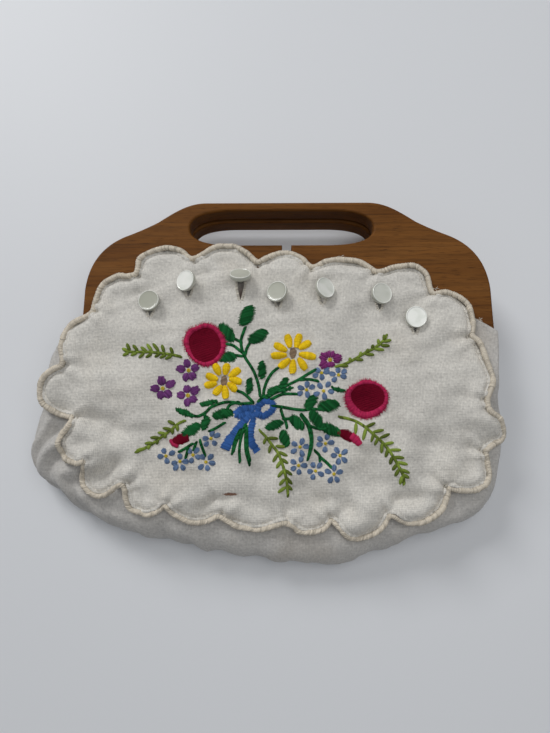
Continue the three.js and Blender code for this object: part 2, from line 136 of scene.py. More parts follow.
def hardwood_finish():
    material, tree, surface = new_finish("Oiled hardwood")
    coords = add_node(tree, "ShaderNodeTexCoord").outputs["Object"]
    figure = stretched_noise(tree, coords, (7, 75, 40), Detail=3.0, Distortion=0.8)
    streaks = stretched_noise(tree, coords, (22, 620, 620), Detail=4.0, Distortion=0.3)
    pores = stretched_noise(tree, coords, (110, 2300, 2300), Detail=2.0)
    pores = color_ramp(tree, pores, [(0.30, 1.0), (0.42, 0.0)])
    tone = color_ramp(tree, figure, [
        (0.30, (0.120, 0.044, 0.009)), (0.50, (0.160, 0.062, 0.013)), (0.72, (0.205, 0.085, 0.020))])
    streaked = color_ramp(tree, streaks, [(0.30, 0.62), (0.52, 0.98), (0.75, 1.12)])
    color = mix_colors(tree, 0.85, tone, streaked, "MULTIPLY")
    color = mix_colors(tree, calculate(tree, "MULTIPLY", pores, 0.7), color,
                       (0.035, 0.013, 0.005, 1))
    tree.links.new(color, surface.inputs["Base Color"])
    rough = calculate(tree, "MULTIPLY_ADD", streaks, 0.25, 0.42)
    tree.links.new(rough, surface.inputs["Roughness"])
    surface.inputs["Specular IOR Level"].default_value = 0.09
    height = calculate(tree, "SUBTRACT", calculate(tree, "MULTIPLY", streaks, 0.35), pores)
    bump = add_node(tree, "ShaderNodeBump",
                    {"Height": height, "Strength": 0.35, "Distance": 0.00018})
    tree.links.new(bump.outputs["Normal"], surface.inputs["Normal"])
    return material


def as_plain_mesh(obj):
    """Turn a piece with its modifiers into a plain mesh with the same name, at the origin."""
    bpy.context.view_layer.update()
    mesh = bpy.data.meshes.new_from_object(
        obj.evaluated_get(bpy.context.evaluated_depsgraph_get()))
    mesh.transform(obj.matrix_world)
    name = obj.name
    bpy.data.objects.remove(obj)
    piece = bpy.data.objects.new(name, mesh)
    bpy.context.scene.collection.objects.link(piece)
    return piece


def bezier_row(knots, steps):
    """Points along curves that share their ends; a knot is (handle, handle, end)."""
    points = [knots[0][-1]]
    for leave, arrive, end in knots[1:]:
        start = points[-1]
        run = geometry.interpolate_bezier(
            *(Vector((*p, 0)) for p in (start, leave, arrive, end)), steps)
        points += [tuple(p.xy) for p in run[1:]]
    return points


def board_outline():
    """The outline from the middle of the top edge, clockwise, as metres across and down."""
    corner = 0.015
    shares = [((0.53 / 1.2925, 0),),
              ((0.50, 0), (0.565, 0.055), (0.65, 0.13)),
              ((0.70, 0.165), (0.75, 0.195), (0.80, 0.22)),
              ((0.90, 0.27), (0.99, 0.37), (1.00, 0.58))]
    knots = [tuple((x * board_side, y * board_height) for x, y in row) for row in shares]
    right = bezier_row(knots, 20)
    centre = (board_side - corner, board_height - corner)
    for angle in np.linspace(0, math.pi / 2, 12):
        right.append((centre[0] + corner * math.cos(angle), centre[1] + corner * math.sin(angle)))
    return right + [(-x, y) for x, y in reversed(right)]


def hand_slot():
    """The slot, fuller than round at its ends, with the notch open into its lower edge."""
    reach, straight, high, shift = 0.060, 0.030, 0.0121, -0.0034
    grip_bar, notch_half, notch_depth, fullness = 0.0059, 0.00295, 0.014, 0.66
    middle = grip_bar + high
    bend_x, bend_y = straight + (reach - straight) * fullness, high * fullness

    def at(x, y):
        return (shift + x, middle + y)

    left = bezier_row([(at(-straight, -high),), (at(-bend_x, -high), at(-reach, -bend_y), at(-reach, 0)),
                       (at(-reach, bend_y), at(-bend_x, high), at(-straight, high))], 20)
    right = bezier_row([(at(straight, high),), (at(bend_x, high), at(reach, bend_y), at(reach, 0)),
                        (at(reach, -bend_y), at(bend_x, -high), at(straight, -high))], 20)
    foot = middle + high + notch_depth - notch_half
    notch = [(-notch_half, middle + high)]
    for angle in np.linspace(math.pi, 0, 13):
        notch.append((notch_half * math.cos(angle), foot + notch_half * math.sin(angle)))
    notch.append((notch_half, middle + high))
    return left + notch + right


wood = hardwood_finish()
for node, name in (("handle_front", "board_front"), ("handle_back", "board_back")):
    low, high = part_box(node)
    curve = bpy.data.curves.new(name, "CURVE")
    curve.dimensions, curve.fill_mode = "2D", "BOTH"
    curve.bevel_depth, curve.bevel_resolution, curve.offset = edge_round, 4, -edge_round
    curve.extrude = (high.z - low.z) / 2 - edge_round
    for outline in (board_outline(), hand_slot()):
        spline = curve.splines.new("POLY")
        spline.points.add(len(outline) - 1)
        for point, (across, down) in zip(spline.points, outline):
            point.co = (board_middle + across, high.y - down, 0, 1)
        spline.use_cyclic_u = True
    blank = bpy.data.objects.new(name, curve)
    bpy.context.scene.collection.objects.link(blank)
    blank.location.z = (low.z + high.z) / 2
    board = as_plain_mesh(blank)
    board.data.shade_smooth()
    board.data.set_sharp_from_angle(angle=math.radians(50))
    board.modifiers.new("Flat faces", "WEIGHTED_NORMAL").keep_sharp = True
    board = as_plain_mesh(board)
    board.data.materials.clear()
    board.data.materials.append(wood)
    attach(board, "root")
    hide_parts(node)


# The pouch is the bag itself: plain white linen, sewn into a flat bag whose mouth is an arc over
# the lower part of the boards. Its gusset bulges out below them, and its rim rolls down to the floor.
cloth_thick = 0.0012
clear = 0.0003
pouch_top = boards_top + clear + cloth_thick
pouch_side = board_side + 0.0009 + cloth_thick
pouch_under_boards = 0.0054
pouch_reach, pouch_belly = 0.032, 0.125
pouch_flat, bridge = 0.012, 0.008
mouth_middle, mouth_at_side = 0.476, 0.846
# The pouch's edge, clockwise from the boards' right corner: across (1 is beside the boards, each
# further 1 is one reach), down (1 is the boards' bottom, 2 is one belly below it), the rounding of
# the rim as a share of 18 mm, the height of its fullest line, and how boxy the rounding is.
pouch_edge = [
    (1.00, 0.70, 0.20, 0.57, 6), (1.00, 0.88, 0.20, 0.56, 6), (1.00, 1.05, 0.24, 0.46, 3),
    (1.00, 1.19, 0.28, 0.40, 2), (1.06, 1.35, 0.28, 0.36, 2), (1.05, 1.50, 0.33, 0.33, 2),
    (0.97, 1.66, 0.45, 0.30, 2), (0.90, 1.76, 0.60, 0.27, 2), (0.75, 1.82, 0.78, 0.25, 2),
    (0.55, 1.89, 0.78, 0.25, 2), (0.35, 1.96, 0.85, 0.25, 2), (0.14, 2.00, 0.95, 0.25, 2),
    (-0.11, 1.98, 0.95, 0.25, 2), (-0.46, 1.91, 0.85, 0.25, 2), (-0.75, 1.85, 0.78, 0.25, 2),
    (-0.97, 1.75, 0.67, 0.27, 2), (-1.24, 1.67, 0.60, 0.33, 2), (-1.74, 1.59, 0.90, 0.27, 2),
    (-1.99, 1.49, 1.10, 0.25, 2), (-1.91, 1.36, 1.00, 0.25, 2), (-1.74, 1.24, 0.67, 0.30, 2),
    (-1.71, 1.12, 0.40, 0.36, 2), (-1.60, 0.99, 0.45, 0.42, 2), (-1.54, 0.87, 0.50, 0.48, 2),
    (-1.21, 0.77, 0.39, 0.53, 3), (-1.00, 0.66, 0.20, 0.57, 6),
]
# Folds in the cloth by the photograph's pixels: where each starts and ends, its height in
# millimetres, below zero for a valley, and its half width in millimetres.
folds = [
    (55, 393, 66, 405, -2.6, 5.0), (66, 405, 92, 419, -3.2, 6.0), (92, 419, 130, 435, -2.2, 8.0),
    (70, 420, 96, 436, 1.8, 7.0), (89, 477, 112, 465, -3.0, 6.5), (112, 465, 142, 452, -1.8, 8.0),
    (84, 462, 118, 450, 1.8, 6.0), (133, 482, 138, 506, -1.0, 3.0), (128, 470, 160, 500, 0.8, 8.0),
    (200, 509, 214, 500, -1.4, 4.0), (214, 500, 236, 499, -1.4, 4.0), (216, 509, 236, 506, 1.0, 3.5),
    (384, 513, 398, 503, -1.7, 4.5), (398, 503, 418, 500, -1.5, 5.0), (396, 512, 420, 514, 1.4, 5.0),
    (334, 520, 350, 508, -1.4, 4.5), (349, 512, 349, 475, -0.7, 7.0), (360, 520, 372, 505, 0.9, 7.0),
    (457, 487, 480, 481, 1.2, 4.5), (440, 500, 447, 486, -1.2, 4.5), (462, 422, 492, 421, 1.2, 6.5),
    (474, 447, 492, 438, -1.5, 5.0), (450, 347, 480, 361, 1.0, 4.5), (434, 318, 450, 342, -0.9, 7.0),
    (402, 278, 412, 272, -0.7, 2.2), (412, 272, 424, 272, -0.7, 2.0), (286, 271, 316, 273, -0.5, 5.0),
    (270, 322, 364, 330, 0.5, 9.0), (118, 289, 174, 282, 0.5, 4.0), (202, 264, 232, 265, -0.4, 4.0),
    (60, 345, 92, 372, 0.9, 9.0), (275, 517, 292, 512, -1.2, 4.0), (280, 520, 296, 518, 0.9, 3.5),
    (156, 500, 168, 488, -1.2, 4.5), (395, 460, 430, 505, 0.6, 12.0), (150, 470, 260, 500, 0.5, 14.0),
    (430, 395, 470, 400, 0.6, 10.0), (440, 440, 465, 470, -0.7, 9.0), (30, 424, 46, 414, 1.6, 3.5),
    (26, 440, 52, 430, -2.0, 3.5), (28, 452, 54, 444, 1.7, 3.5), (33, 464, 58, 456, -1.9, 3.5),
    (44, 478, 68, 470, 1.5, 4.0), (50, 490, 76, 482, -1.6, 4.0), (70, 502, 90, 522, 1.2, 4.0),
    (84, 506, 96, 526, -1.4, 3.5), (120, 522, 128, 540, -1.2, 3.5), (172, 532, 178, 552, -1.5, 3.5),
    (196, 536, 192, 556, 1.2, 4.0), (240, 540, 244, 560, 0.9, 5.0), (292, 540, 288, 562, -1.1, 4.5),
    (352, 556, 360, 540, -1.5, 3.5), (404, 534, 414, 550, -1.3, 4.0),
]


def ease(t):
    held = np.clip(t, 0, 1)
    return held * held * (3 - 2 * held)


def smooth_between(t, before, start, end, after):
    """A smooth curve by four values in a row, from the second to the third as t goes to 1."""
    return 0.5 * ((-t + 2 * t**2 - t**3) * before + (2 - 5 * t**2 + 3 * t**3) * start
                  + (t + 4 * t**2 - 3 * t**3) * end + (-(t**2) + t**3) * after)


def place(across, down):
    """The place of an across share and a down share on the bag."""
    across, down = np.asarray(across, float), np.asarray(down, float)
    beside = np.minimum(1, np.abs(across)) * pouch_side + np.maximum(0, np.abs(across) - 1) * pouch_reach
    below = np.minimum(1, down) * board_height + np.maximum(0, down - 1) * pouch_belly
    return board_middle + np.sign(across) * beside, board_top_edge - below


def past_boards(x, y):
    beside = np.maximum(0, np.abs(x - board_middle) - board_side)
    return np.hypot(beside, np.maximum(0, board_top_edge - board_height - y))


mouth_sag = (mouth_at_side - mouth_middle) * board_height
mouth_radius = (board_side**2 + mouth_sag**2) / (2 * mouth_sag)
mouth_centre_y = board_top_edge - mouth_middle * board_height - mouth_radius


def above_mouth(x, y):
    """How far a place lies above the arc of the pouch's mouth."""
    return np.hypot(x - board_middle, y - mouth_centre_y) - mouth_radius


def crease(x, y, start, end, height, width):
    """A soft ridge or valley of the cloth along a line."""
    run = np.subtract(end, start)
    along = np.clip(((x - start[0]) * run[0] + (y - start[1]) * run[1]) / (run @ run), 0, 1)
    away = np.hypot(x - start[0] - along * run[0], y - start[1] - along * run[1])
    return height * np.exp(-((away / width) ** 2))


def relief(x, y):
    """The height of all the folds together."""
    total = np.zeros_like(x)
    for px0, py0, px1, py1, height, width in folds:
        start, end = from_photo(px0, py0, 0.032), from_photo(px1, py1, 0.032)
        total += crease(x, y, start, end, height / 1000, width / 1000)
    return total


def crumple(x, y, size, depth, seed):
    """Gentle unevenness of used cloth: waves of about one size in all directions."""
    wave = np.random.default_rng(seed)
    total = np.zeros_like(x)
    for _ in range(9):
        turn, phase = wave.uniform(0, 2 * math.pi, 2)
        count = 2 * math.pi / (size * wave.uniform(0.7, 1.6))
        total += np.sin((x * math.cos(turn) + y * math.sin(turn)) * count + phase)
    return total * depth / 3


def top_height(x, y, flat):
    """Upper side of the pouch: level over the boards and a little past them, then falling away."""
    fall, bend, coming_loose = 0.135, 0.010, 0.030
    past = np.maximum(0, past_boards(x, y) - flat)
    slope = fall * (np.hypot(past, bend) - bend)
    beside = np.maximum(0, np.abs(x - board_middle + 0.012) / pouch_side - 0.69) / 0.38
    loose = ease(past / coming_loose)
    uneven = relief(x, y) * 1.8 + crumple(x, y, 0.024, 0.0012, 3)
    return pouch_top - slope + loose * (uneven - 0.005 * beside**2)


def bottom_height(x, y, share):
    lying = cloth_thick + clear + 0.0024 * ease((share - 0.45) / 0.25)
    hanging = 1 - ease((past_boards(x, y) - pouch_flat) / 0.060)
    return lying + (pouch_under_boards - lying) * hanging


def edge_row(position):
    """Smooth values between the rows of the pouch's edge, which closes on itself."""
    table = np.array(pouch_edge, float)
    x, y = place(table[:, 0], table[:, 1])
    blank = np.array([-0.96, -0.5, 0, 0.5, 0.96])
    blank_y = board_top_edge - mouth_middle * board_height + 0.009
    rows = np.column_stack([
        np.append(x, board_middle + blank * pouch_side), np.append(y, np.full(5, blank_y)),
        np.append(table[:, 2] * 0.018, np.full(5, 0.0036)),
        np.append(table[:, 3], np.full(5, 0.57)) * pouch_top, np.append(table[:, 4], np.full(5, 6.0))])
    start = np.floor(position).astype(int)
    t = (position - start)[:, None]
    return smooth_between(t, *(rows[(start + step) % len(rows)] for step in (-1, 0, 1, 2)))


def linen_finish(name, tint, soil, fleck=(1.0, 1.0)):
    """Plain-woven linen: crossing yarns of uneven thickness, off-white and a little soiled."""
    material, tree, surface = new_finish(name)
    weave = add_node(tree, "ShaderNodeUVMap", uv_map="cloth").outputs["UV"]
    coords = add_node(tree, "ShaderNodeTexCoord").outputs["Object"]
    split = add_node(tree, "ShaderNodeSeparateXYZ", {"Vector": weave})
    yarns_a_metre = 1150.0
    waves = []
    for axis in ("X", "Y"):
        turn = calculate(tree, "MULTIPLY", split.outputs[axis], yarns_a_metre * math.pi)
        waves.append(calculate(tree, "SINE", turn))
    over = calculate(tree, "MULTIPLY", waves[0], waves[1])
    pillow = calculate(tree, "POWER", calculate(tree, "ABSOLUTE", over), 0.5)
    warp = stretched_noise(tree, weave, (1150, 420, 1), Detail=3.0)
    weft = stretched_noise(tree, weave, (400, 1050, 1), Detail=3.0)
    slubs = calculate(tree, "MAXIMUM", warp, weft)
    patches = stretched_noise(tree, coords, (26, 26, 26), Detail=4.0)
    mottle = stretched_noise(tree, coords, (620, 620, 620), Detail=3.0)
    clean = color_ramp(tree, patches, [(0.30, [c * 0.90 for c in tint]), (0.52, tint), (0.75, soil)])
    shade = calculate(tree, "ADD", calculate(tree, "MULTIPLY", slubs, 0.62),
                      calculate(tree, "ADD", calculate(tree, "MULTIPLY", mottle, 0.52), 0.35))
    # The crossing yarns darken the colour between them: painted shade of the weave. The slubs and mottle
    # are the yarns' own uneven tone.
    shade = calculate(tree, "MULTIPLY", shade, calculate(
        tree, "ADD", calculate(tree, "MULTIPLY", pillow, 0.30), 0.80))
    grey = add_node(tree, "ShaderNodeCombineColor", {"Red": shade, "Green": shade, "Blue": shade})
    color = mix_colors(tree, 1.0, clean, grey.outputs["Color"], "MULTIPLY")
    # Darker brown where the pouch cloth lies under the third buttonhole's slit.
    dirt = add_node(tree, "ShaderNodeAttribute", attribute_name="dirt").outputs["Fac"]
    color = mix_colors(tree, dirt, color, (0.10, 0.045, 0.025, 1))
    mapping = add_node(tree, "ShaderNodeMapping", {
        "Vector": coords, "Location": (-fleck[0] / 0.0062, -fleck[1] / 0.0013, 0),
        "Scale": (1 / 0.0062, 1 / 0.0013, 0)})
    away = add_node(tree, "ShaderNodeVectorMath", {0: mapping.outputs["Vector"]}, operation="LENGTH")
    ragged = calculate(tree, "ADD", away.outputs["Value"],
                       stretched_noise(tree, coords, (1500, 1500, 1500)))
    rust = color_ramp(tree, calculate(tree, "MULTIPLY", ragged, 0.5), [(0.50, 0.9), (0.66, 0.0)])
    color = mix_colors(tree, rust, color, (0.17, 0.062, 0.026, 1))
    tree.links.new(color, surface.inputs["Base Color"])
    surface.inputs["Roughness"].default_value = 0.92
    surface.inputs["Specular IOR Level"].default_value = 0.25
    surface.inputs["Sheen Weight"].default_value = 0.12
    surface.inputs["Sheen Roughness"].default_value = 0.5
    height = calculate(tree, "ADD", calculate(tree, "MULTIPLY", pillow, 0.6),
                       calculate(tree, "MULTIPLY", slubs, 1.6))
    bump = add_node(tree, "ShaderNodeBump",
                    {"Height": height, "Strength": 0.85, "Distance": 0.0003})
    tree.links.new(bump.outputs["Normal"], surface.inputs["Normal"])
    return material


def ring_skin(name, rings, uv_rings):
    """A closed skin over rings of points; the first and the last ring each shrink to one point."""
    count = len(rings[0])
    points = np.concatenate([rings[0].mean(0)[None], *rings, rings[-1].mean(0)[None]])
    flat = np.concatenate([uv_rings[0].mean(0)[None], *uv_rings, uv_rings[-1].mean(0)[None]])
    here = np.arange(count)
    beyond = (here + 1) % count
    faces = [(0, 1 + a, 1 + b) for a, b in zip(here, beyond)]
    for ring in range(len(rings) - 1):
        base = 1 + ring * count
        faces += [(base + a, base + count + a, base + count + b, base + b)
                  for a, b in zip(here, beyond)]
    last = 1 + (len(rings) - 1) * count
    faces += [(len(points) - 1, last + b, last + a) for a, b in zip(here, beyond)]
    mesh = bpy.data.meshes.new(name)
    mesh.from_pydata(points.tolist(), [], faces)
    add_cloth_map(mesh, flat)
    mesh.shade_smooth()
    return mesh


def add_cloth_map(mesh, flat):
    """Lay the flat cloth's places on a mesh as the map that its weave follows."""
    corners = np.zeros(len(mesh.loops), np.int32)
    mesh.loops.foreach_get("vertex_index", corners)
    mesh.uv_layers.new(name="cloth").data.foreach_set("uv", flat[corners].astype(np.float32).ravel())


def pouch_skin():
    hub = np.array([board_middle - 0.012, board_top_edge - 0.140])
    rows = edge_row(-np.arange(31 * 11) / 11 + 31)
    out = rows[:, :2] - hub
    reach = np.linalg.norm(out, axis=1)
    out /= reach[:, None]
    rounding, full, square = rows[:, 2], rows[:, 3], rows[:, 4]
    inner = reach - rounding
    rings, maps, gone = [], [], np.zeros(len(rows))

    def add_ring(distance, height):
        nonlocal gone
        ring = np.column_stack([hub + out * distance[:, None], height])
        if rings:
            gone = gone + np.linalg.norm(ring - rings[-1], axis=1)
        else:
            gone = distance.copy()
        rings.append(ring)
        maps.append(hub + out * gone[:, None])

    def at(distance):
        spot = hub + out * distance[:, None]
        return spot[:, 0], spot[:, 1]

    for share in np.linspace(0.05, 0.985, 48):
        add_ring(inner * share, top_height(*at(inner * share), pouch_flat))
    top_z = top_height(*at(inner), pouch_flat)
    bottom_z = bottom_height(*at(inner), inner / reach)
    held = 1 - ease((past_boards(rows[:, 0], rows[:, 1]) - 0.004) / 0.020)
    for turn in np.linspace(0, math.pi, 25):
        spread = rounding * np.abs(math.sin(turn)) ** (2 / square)
        drop = np.abs(math.cos(turn)) ** (2 / square)
        end = top_z if turn < math.pi / 2 else bottom_z
        spot = hub + out * (inner + spread)[:, None] + (0, turn * 0.014)
        uneven = crumple(*spot.T, 0.022, 0.0013, 8) + crumple(*spot.T, 0.010, 0.0005, 9)
        height = full + (end - full) * drop
        height += (1 - held) * max(0, math.cos(turn)) * 1.8 * (relief(*spot.T) - relief(*at(inner)))
        bulge = (1 - held) * math.sin(turn) * uneven
        add_ring(inner + spread + bulge, height + bulge * math.cos(turn) * 0.5)
    for share in np.linspace(0.97, 0.05, 26):
        add_ring(inner * share, bottom_height(*at(inner * share), inner * share / reach))
    return ring_skin("pouch_linen", rings, maps)


def cut_mouth(mesh):
    """Cut the skin open along the mouth's arc, by bending the arc straight and back."""
    bm = bmesh.new()
    bm.from_mesh(mesh)

    def arc(x):
        return mouth_centre_y + math.sqrt(max(0.0, mouth_radius**2 - (x - board_middle) ** 2))

    for vertex in bm.verts:
        vertex.co.y -= arc(vertex.co.x)
    bmesh.ops.bisect_plane(bm, geom=[*bm.verts, *bm.edges, *bm.faces], plane_co=(0, 0, 0),
                           plane_no=(0, 1, 0), clear_outer=True)
    for vertex in bm.verts:
        vertex.co.y += arc(vertex.co.x)
    bm.to_mesh(mesh)
    bm.free()


pouch_mesh = pouch_skin()
cut_mouth(pouch_mesh)
pouch = bpy.data.objects.new("pouch_linen", pouch_mesh)
bpy.context.scene.collection.objects.link(pouch)
wall = pouch.modifiers.new("Cloth thickness", "SOLIDIFY")
wall.thickness, wall.offset = cloth_thick, -1
pouch = as_plain_mesh(pouch)
# The pouch's linen is tinted darker than the covers' linen: painted shade for the gusset that bulges out
# below the boards. Its patches of soil are the cloth's own.
linen = linen_finish("Pouch linen with painted shade", (0.60, 0.58, 0.55), (0.53, 0.495, 0.45))
pouch.data.materials.append(linen)
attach(pouch, "root")
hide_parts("pouch")


# The scalloped edge that both covers share, traced on the front cover's cord. Each row is one
# scallop, clockwise from the left: its corner first, then points along its outer line, in pixels.
scallop_trace = [
    [(93, 311), (95, 303), (99, 291), (104, 283.5), (112, 278.5), (120, 275.5), (127, 276)],
    [(135.5, 274), (138, 266), (139, 260), (143, 256), (150, 252.5), (158, 249.5), (167, 248),
     (176, 249.3), (183, 252.5), (188, 256.5)],
    [(192, 258.7), (197, 257.5), (205, 253), (211, 249), (218, 246.5), (226, 246), (234, 247),
     (241, 249), (247, 253), (252, 258)],
    [(257.5, 262), (263, 260), (270, 256.5), (277, 254), (284, 253), (292, 254), (299, 257),
     (305, 261.5)],
    [(312.5, 267), (319, 265), (326, 261.5), (333, 260), (341, 259.5), (349, 260), (357, 261),
     (364, 264), (370, 268)],
    [(376, 271.5), (383, 271), (390, 268.5), (397, 266.5), (405, 266), (413, 266), (420, 268.5),
     (425, 273), (428, 280), (430, 287)],
    [(433.5, 293.5), (439, 293), (447, 292.5), (455, 295), (463, 300), (468, 306), (471, 313),
     (472.5, 320), (472.5, 327)],
    [(472, 336), (479, 341), (483, 350), (486, 359), (489, 367), (492, 375), (493, 383), (491, 389)],
    [(487, 400), (489, 408), (495, 414), (500, 419), (503, 426), (503.5, 433), (501, 440), (494, 444)],
    [(486, 451), (487, 460), (489, 470), (489, 478), (486, 484), (478, 488.5), (470, 490.5),
     (460, 490.5), (453, 489)],
    [(450, 488), (446, 498), (443, 508), (437, 514), (430, 519), (422, 522.5), (414, 523.5),
     (406, 522.5), (399, 519.5), (394, 516)],
    [(391.5, 515.5), (388, 518), (385, 524), (380, 530), (374, 534), (366, 537), (358, 538.5),
     (350, 538), (344, 534), (339, 528), (335, 523)],
    [(331.5, 520.5), (329, 523), (325, 528), (319, 531), (312, 533), (305, 533), (298, 531), (293, 527)],
    [(287.5, 524), (283, 523), (275, 526), (266, 528.5), (257, 529.5), (248, 529), (240, 527),
     (232, 524), (225, 520.5)],
    [(219.5, 516.5), (214, 518), (207, 521.5), (199, 523), (190, 522), (182, 519), (175, 515),
     (170, 510)],
    [(164.5, 505.5), (160, 510), (154, 513), (146, 514.5), (138, 513), (131, 509), (127, 503),
     (125, 496), (124.5, 489)],
    [(121.5, 485), (116, 487), (111, 491), (105, 495), (98, 496), (91, 494), (86, 490), (83, 484),
     (82.5, 477), (83, 470)],
    [(84, 461), (77, 463.5), (70, 461.5), (64, 457), (60, 450), (58, 443), (61, 435), (66, 429),
     (70, 423)],
    [(71.5, 417.5), (66, 415.8), (58, 413.5), (50, 409.5), (44, 403.5), (40.5, 396), (40, 388),
     (42, 380), (47, 373.5), (54, 368.5)],
    [(62.5, 364.5), (61.5, 350), (62, 343), (64.5, 334), (69, 327.5), (75, 322), (82, 318.5),
     (89, 315)],
]
cord_radius = 0.0019
cover_flat = pouch_flat + bridge


def lying_cover(x, y):
    """Underside of the front cover without its rim: on the pouch, and on the wood above the mouth."""
    step = (cloth_thick + clear) * ease((above_mouth(x, y) - 0.0005) / 0.004)
    loose = ease(np.maximum(0, past_boards(x, y) - cover_flat) / 0.030)
    slack = (1 - loose) * np.maximum(relief(x, y), -0.0004)
    return top_height(x, y, cover_flat) + clear + 0.0003 + slack - step


def smooth_loop(corners, spacing):
    """Points at even steps along a smooth closed line through the given points."""
    corners = np.asarray(corners, float)
    t = np.linspace(0, 1, 12, endpoint=False)[:, None]
    fine = np.concatenate([
        smooth_between(t, *(corners[(i + step) % len(corners)] for step in (-1, 0, 1, 2)))
        for i in range(len(corners))])
    closed = np.vstack([fine, fine[:1]])
    gone = np.append(0, np.cumsum(np.linalg.norm(np.diff(closed, axis=0), axis=1)))
    steps = np.linspace(0, gone[-1], int(gone[-1] / spacing), endpoint=False)
    return np.column_stack([np.interp(steps, gone, closed[:, k]) for k in (0, 1)])


def traced_edge():
    pixels = np.array([point for row in scallop_trace for point in row], float)
    height = np.full(len(pixels), pouch_top)
    for _ in range(3):
        x, y = from_photo(pixels[:, 0], pixels[:, 1], height + cord_radius)
        height = lying_cover(x, y)
    return smooth_loop(np.column_stack([x, y]), 0.0009)


edge_line = traced_edge()
edge_corners = [from_photo(*row[0], 0.034) for row in scallop_trace]


def rim_place(x, y):
    """How far places lie from the cord's middle line, and how far along it."""
    spots = np.column_stack([np.ravel(x), np.ravel(y)])
    away, along = np.empty(len(spots)), np.empty(len(spots))
    run = np.roll(edge_line, -1, axis=0) - edge_line
    length = np.linalg.norm(run, axis=1)
    gone = np.append(0, np.cumsum(length)[:-1])
    for first in range(0, len(spots), 2000):
        part = spots[first:first + 2000, None] - edge_line
        t = np.clip((part * run).sum(2) / length**2, 0, 1)
        distance = np.linalg.norm(part - t[..., None] * run, axis=2)
        nearest = distance.argmin(1)
        row = np.arange(len(nearest))
        away[first:first + 2000] = distance[row, nearest]
        along[first:first + 2000] = gone[nearest] + t[row, nearest] * length[nearest]
    return away.reshape(np.shape(x)), along.reshape(np.shape(x))


def cover_height(x, y):
    """Underside of the front cover, with its stitched rim and the puckers at its corners."""
    away, along = rim_place(x, y)
    ditch = -0.0013 * np.exp(-(((away - 0.0031) / 0.0009) ** 2))
    puff = 0.0009 * np.exp(-(((away - 0.0070) / 0.0034) ** 2))
    ripple = 0.00022 * np.sin(along / 0.0009) * np.sin(along / 0.0023) * np.exp(-away / 0.006)
    ripple += 0.0006 + crumple(x, y, 0.034, 0.00110, 5) + crumple(x, y, 0.012, 0.00032, 6)
    pucker = np.zeros_like(x)
    for corner in edge_corners:
        inward = np.array([board_middle - 0.010 - corner[0], board_top_edge - 0.125 - corner[1]])
        inward /= np.linalg.norm(inward)
        sideways = np.array([-inward[1], inward[0]])
        s = (x - corner[0]) * inward[0] + (y - corner[1]) * inward[1]
        t = (x - corner[0]) * sideways[0] + (y - corner[1]) * sideways[1]
        fade = np.exp(-((np.maximum(s, 0) / 0.014) ** 2)) * (s > -0.004)
        wide = 0.0013 + 0.14 * np.maximum(s, 0)
        pucker += fade * (0.0014 * np.exp(-(((np.abs(t) - 2.0 * wide) / wide) ** 2))
                          - 0.0013 * np.exp(-((t / wide) ** 2)))
    return lying_cover(x, y) + ditch + puff + ripple + pucker


# Each cover is one sheet of the same linen, cut to the scallops and laid over a side of the pouch.
# Seven buttonholes in it slip over the buttons along the mouth.
buttons = [  # across, down, how far the head has tipped and toward which side, in degrees
    (-0.65, 0.68, 7, 150), (-0.47, 0.56, 28, 180), (-0.22, 0.54, 42, 90), (-0.04, 0.63, 22, 170),
    (0.17, 0.61, 32, 10), (0.44, 0.64, 18, 0), (0.60, 0.78, 8, 300),
]
button_places = [place(row[0], row[1]) for row in buttons]
hole_lengths = [0.0092, 0.0092, 0.0135, 0.0085, 0.0085, 0.0090, 0.0100]
shank_radius = 0.0014


def buttonhole(centre, length, grow=0.0):
    """Outline of a buttonhole: round about the shank, then closing to a point down the bag."""
    half = shank_radius + 0.0006 + grow
    points = [(half * math.cos(a), half * math.sin(a)) for a in np.linspace(0, math.pi, 9)]
    down = np.linspace(0, 1, 10)[1:]
    side = half * (1 - down**2.0)
    points += [(-s, -d * (length + grow)) for d, s in zip(down, side)]
    points += [(s, -d * (length + grow)) for d, s in zip(down[-2::-1], side[-2::-1])]
    return np.array(points) + centre


def outward_of(loop):
    """The direction to the right of a closed line's run, which is outward if it's anticlockwise."""
    run = np.roll(loop, -1, axis=0) - np.roll(loop, 1, axis=0)
    run /= np.linalg.norm(run, axis=1)[:, None]
    return np.column_stack([run[:, 1], -run[:, 0]])


def inside(spots, outline):
    """Which places lie within a closed outline."""
    x, y = spots[:, 0, None], spots[:, 1, None]
    x0, y0 = outline.T
    x1, y1 = np.roll(outline, -1, axis=0).T
    crosses = (y0 > y) != (y1 > y)
    with np.errstate(divide="ignore", invalid="ignore"):
        left = x < (x1 - x0) * (y - y0) / (y1 - y0) + x0
    return (crosses & left).sum(1) % 2 == 1


def cut_cloth(spacing):
    """The flat cover: triangles between its scalloped rim and its seven buttonholes."""
    into_cord = 0.0009
    rim = edge_line + outward_of(edge_line) * into_cord
    holes = [buttonhole(c, l) for c, l in zip(button_places, hole_lengths)]
    low, high = rim.min(0), rim.max(0)
    rows = np.arange(low[1], high[1], spacing * 0.866)
    columns = np.arange(low[0], high[0], spacing)
    grid = np.array([(x + (i % 2) * spacing / 2, y) for i, y in enumerate(rows) for x in columns])
    grid = grid[inside(grid, rim)]
    grid = grid[rim_place(grid[:, 0], grid[:, 1])[0] > into_cord + spacing * 0.6]
    for c, l in zip(button_places, hole_lengths):
        grid = grid[~inside(grid, buttonhole(c, l, spacing * 0.4))]
    points, edges = [*rim], [(i, (i + 1) % len(rim)) for i in range(len(rim))]
    for hole in holes:
        base = len(points)
        points += [*hole]
        edges += [(base + i, base + (i + 1) % len(hole)) for i in range(len(hole))]
    points = [Vector(p) for p in [*points, *grid]]
    flat, _, faces, *_ = geometry.delaunay_2d_cdt(points, edges, [], 0, 1e-7, False)
    flat, faces = np.array(flat), np.array(faces)
    middles = flat[faces].mean(1)
    kept = inside(middles, rim)
    for hole in holes:
        kept &= ~inside(middles, hole)
    return flat, faces[kept]


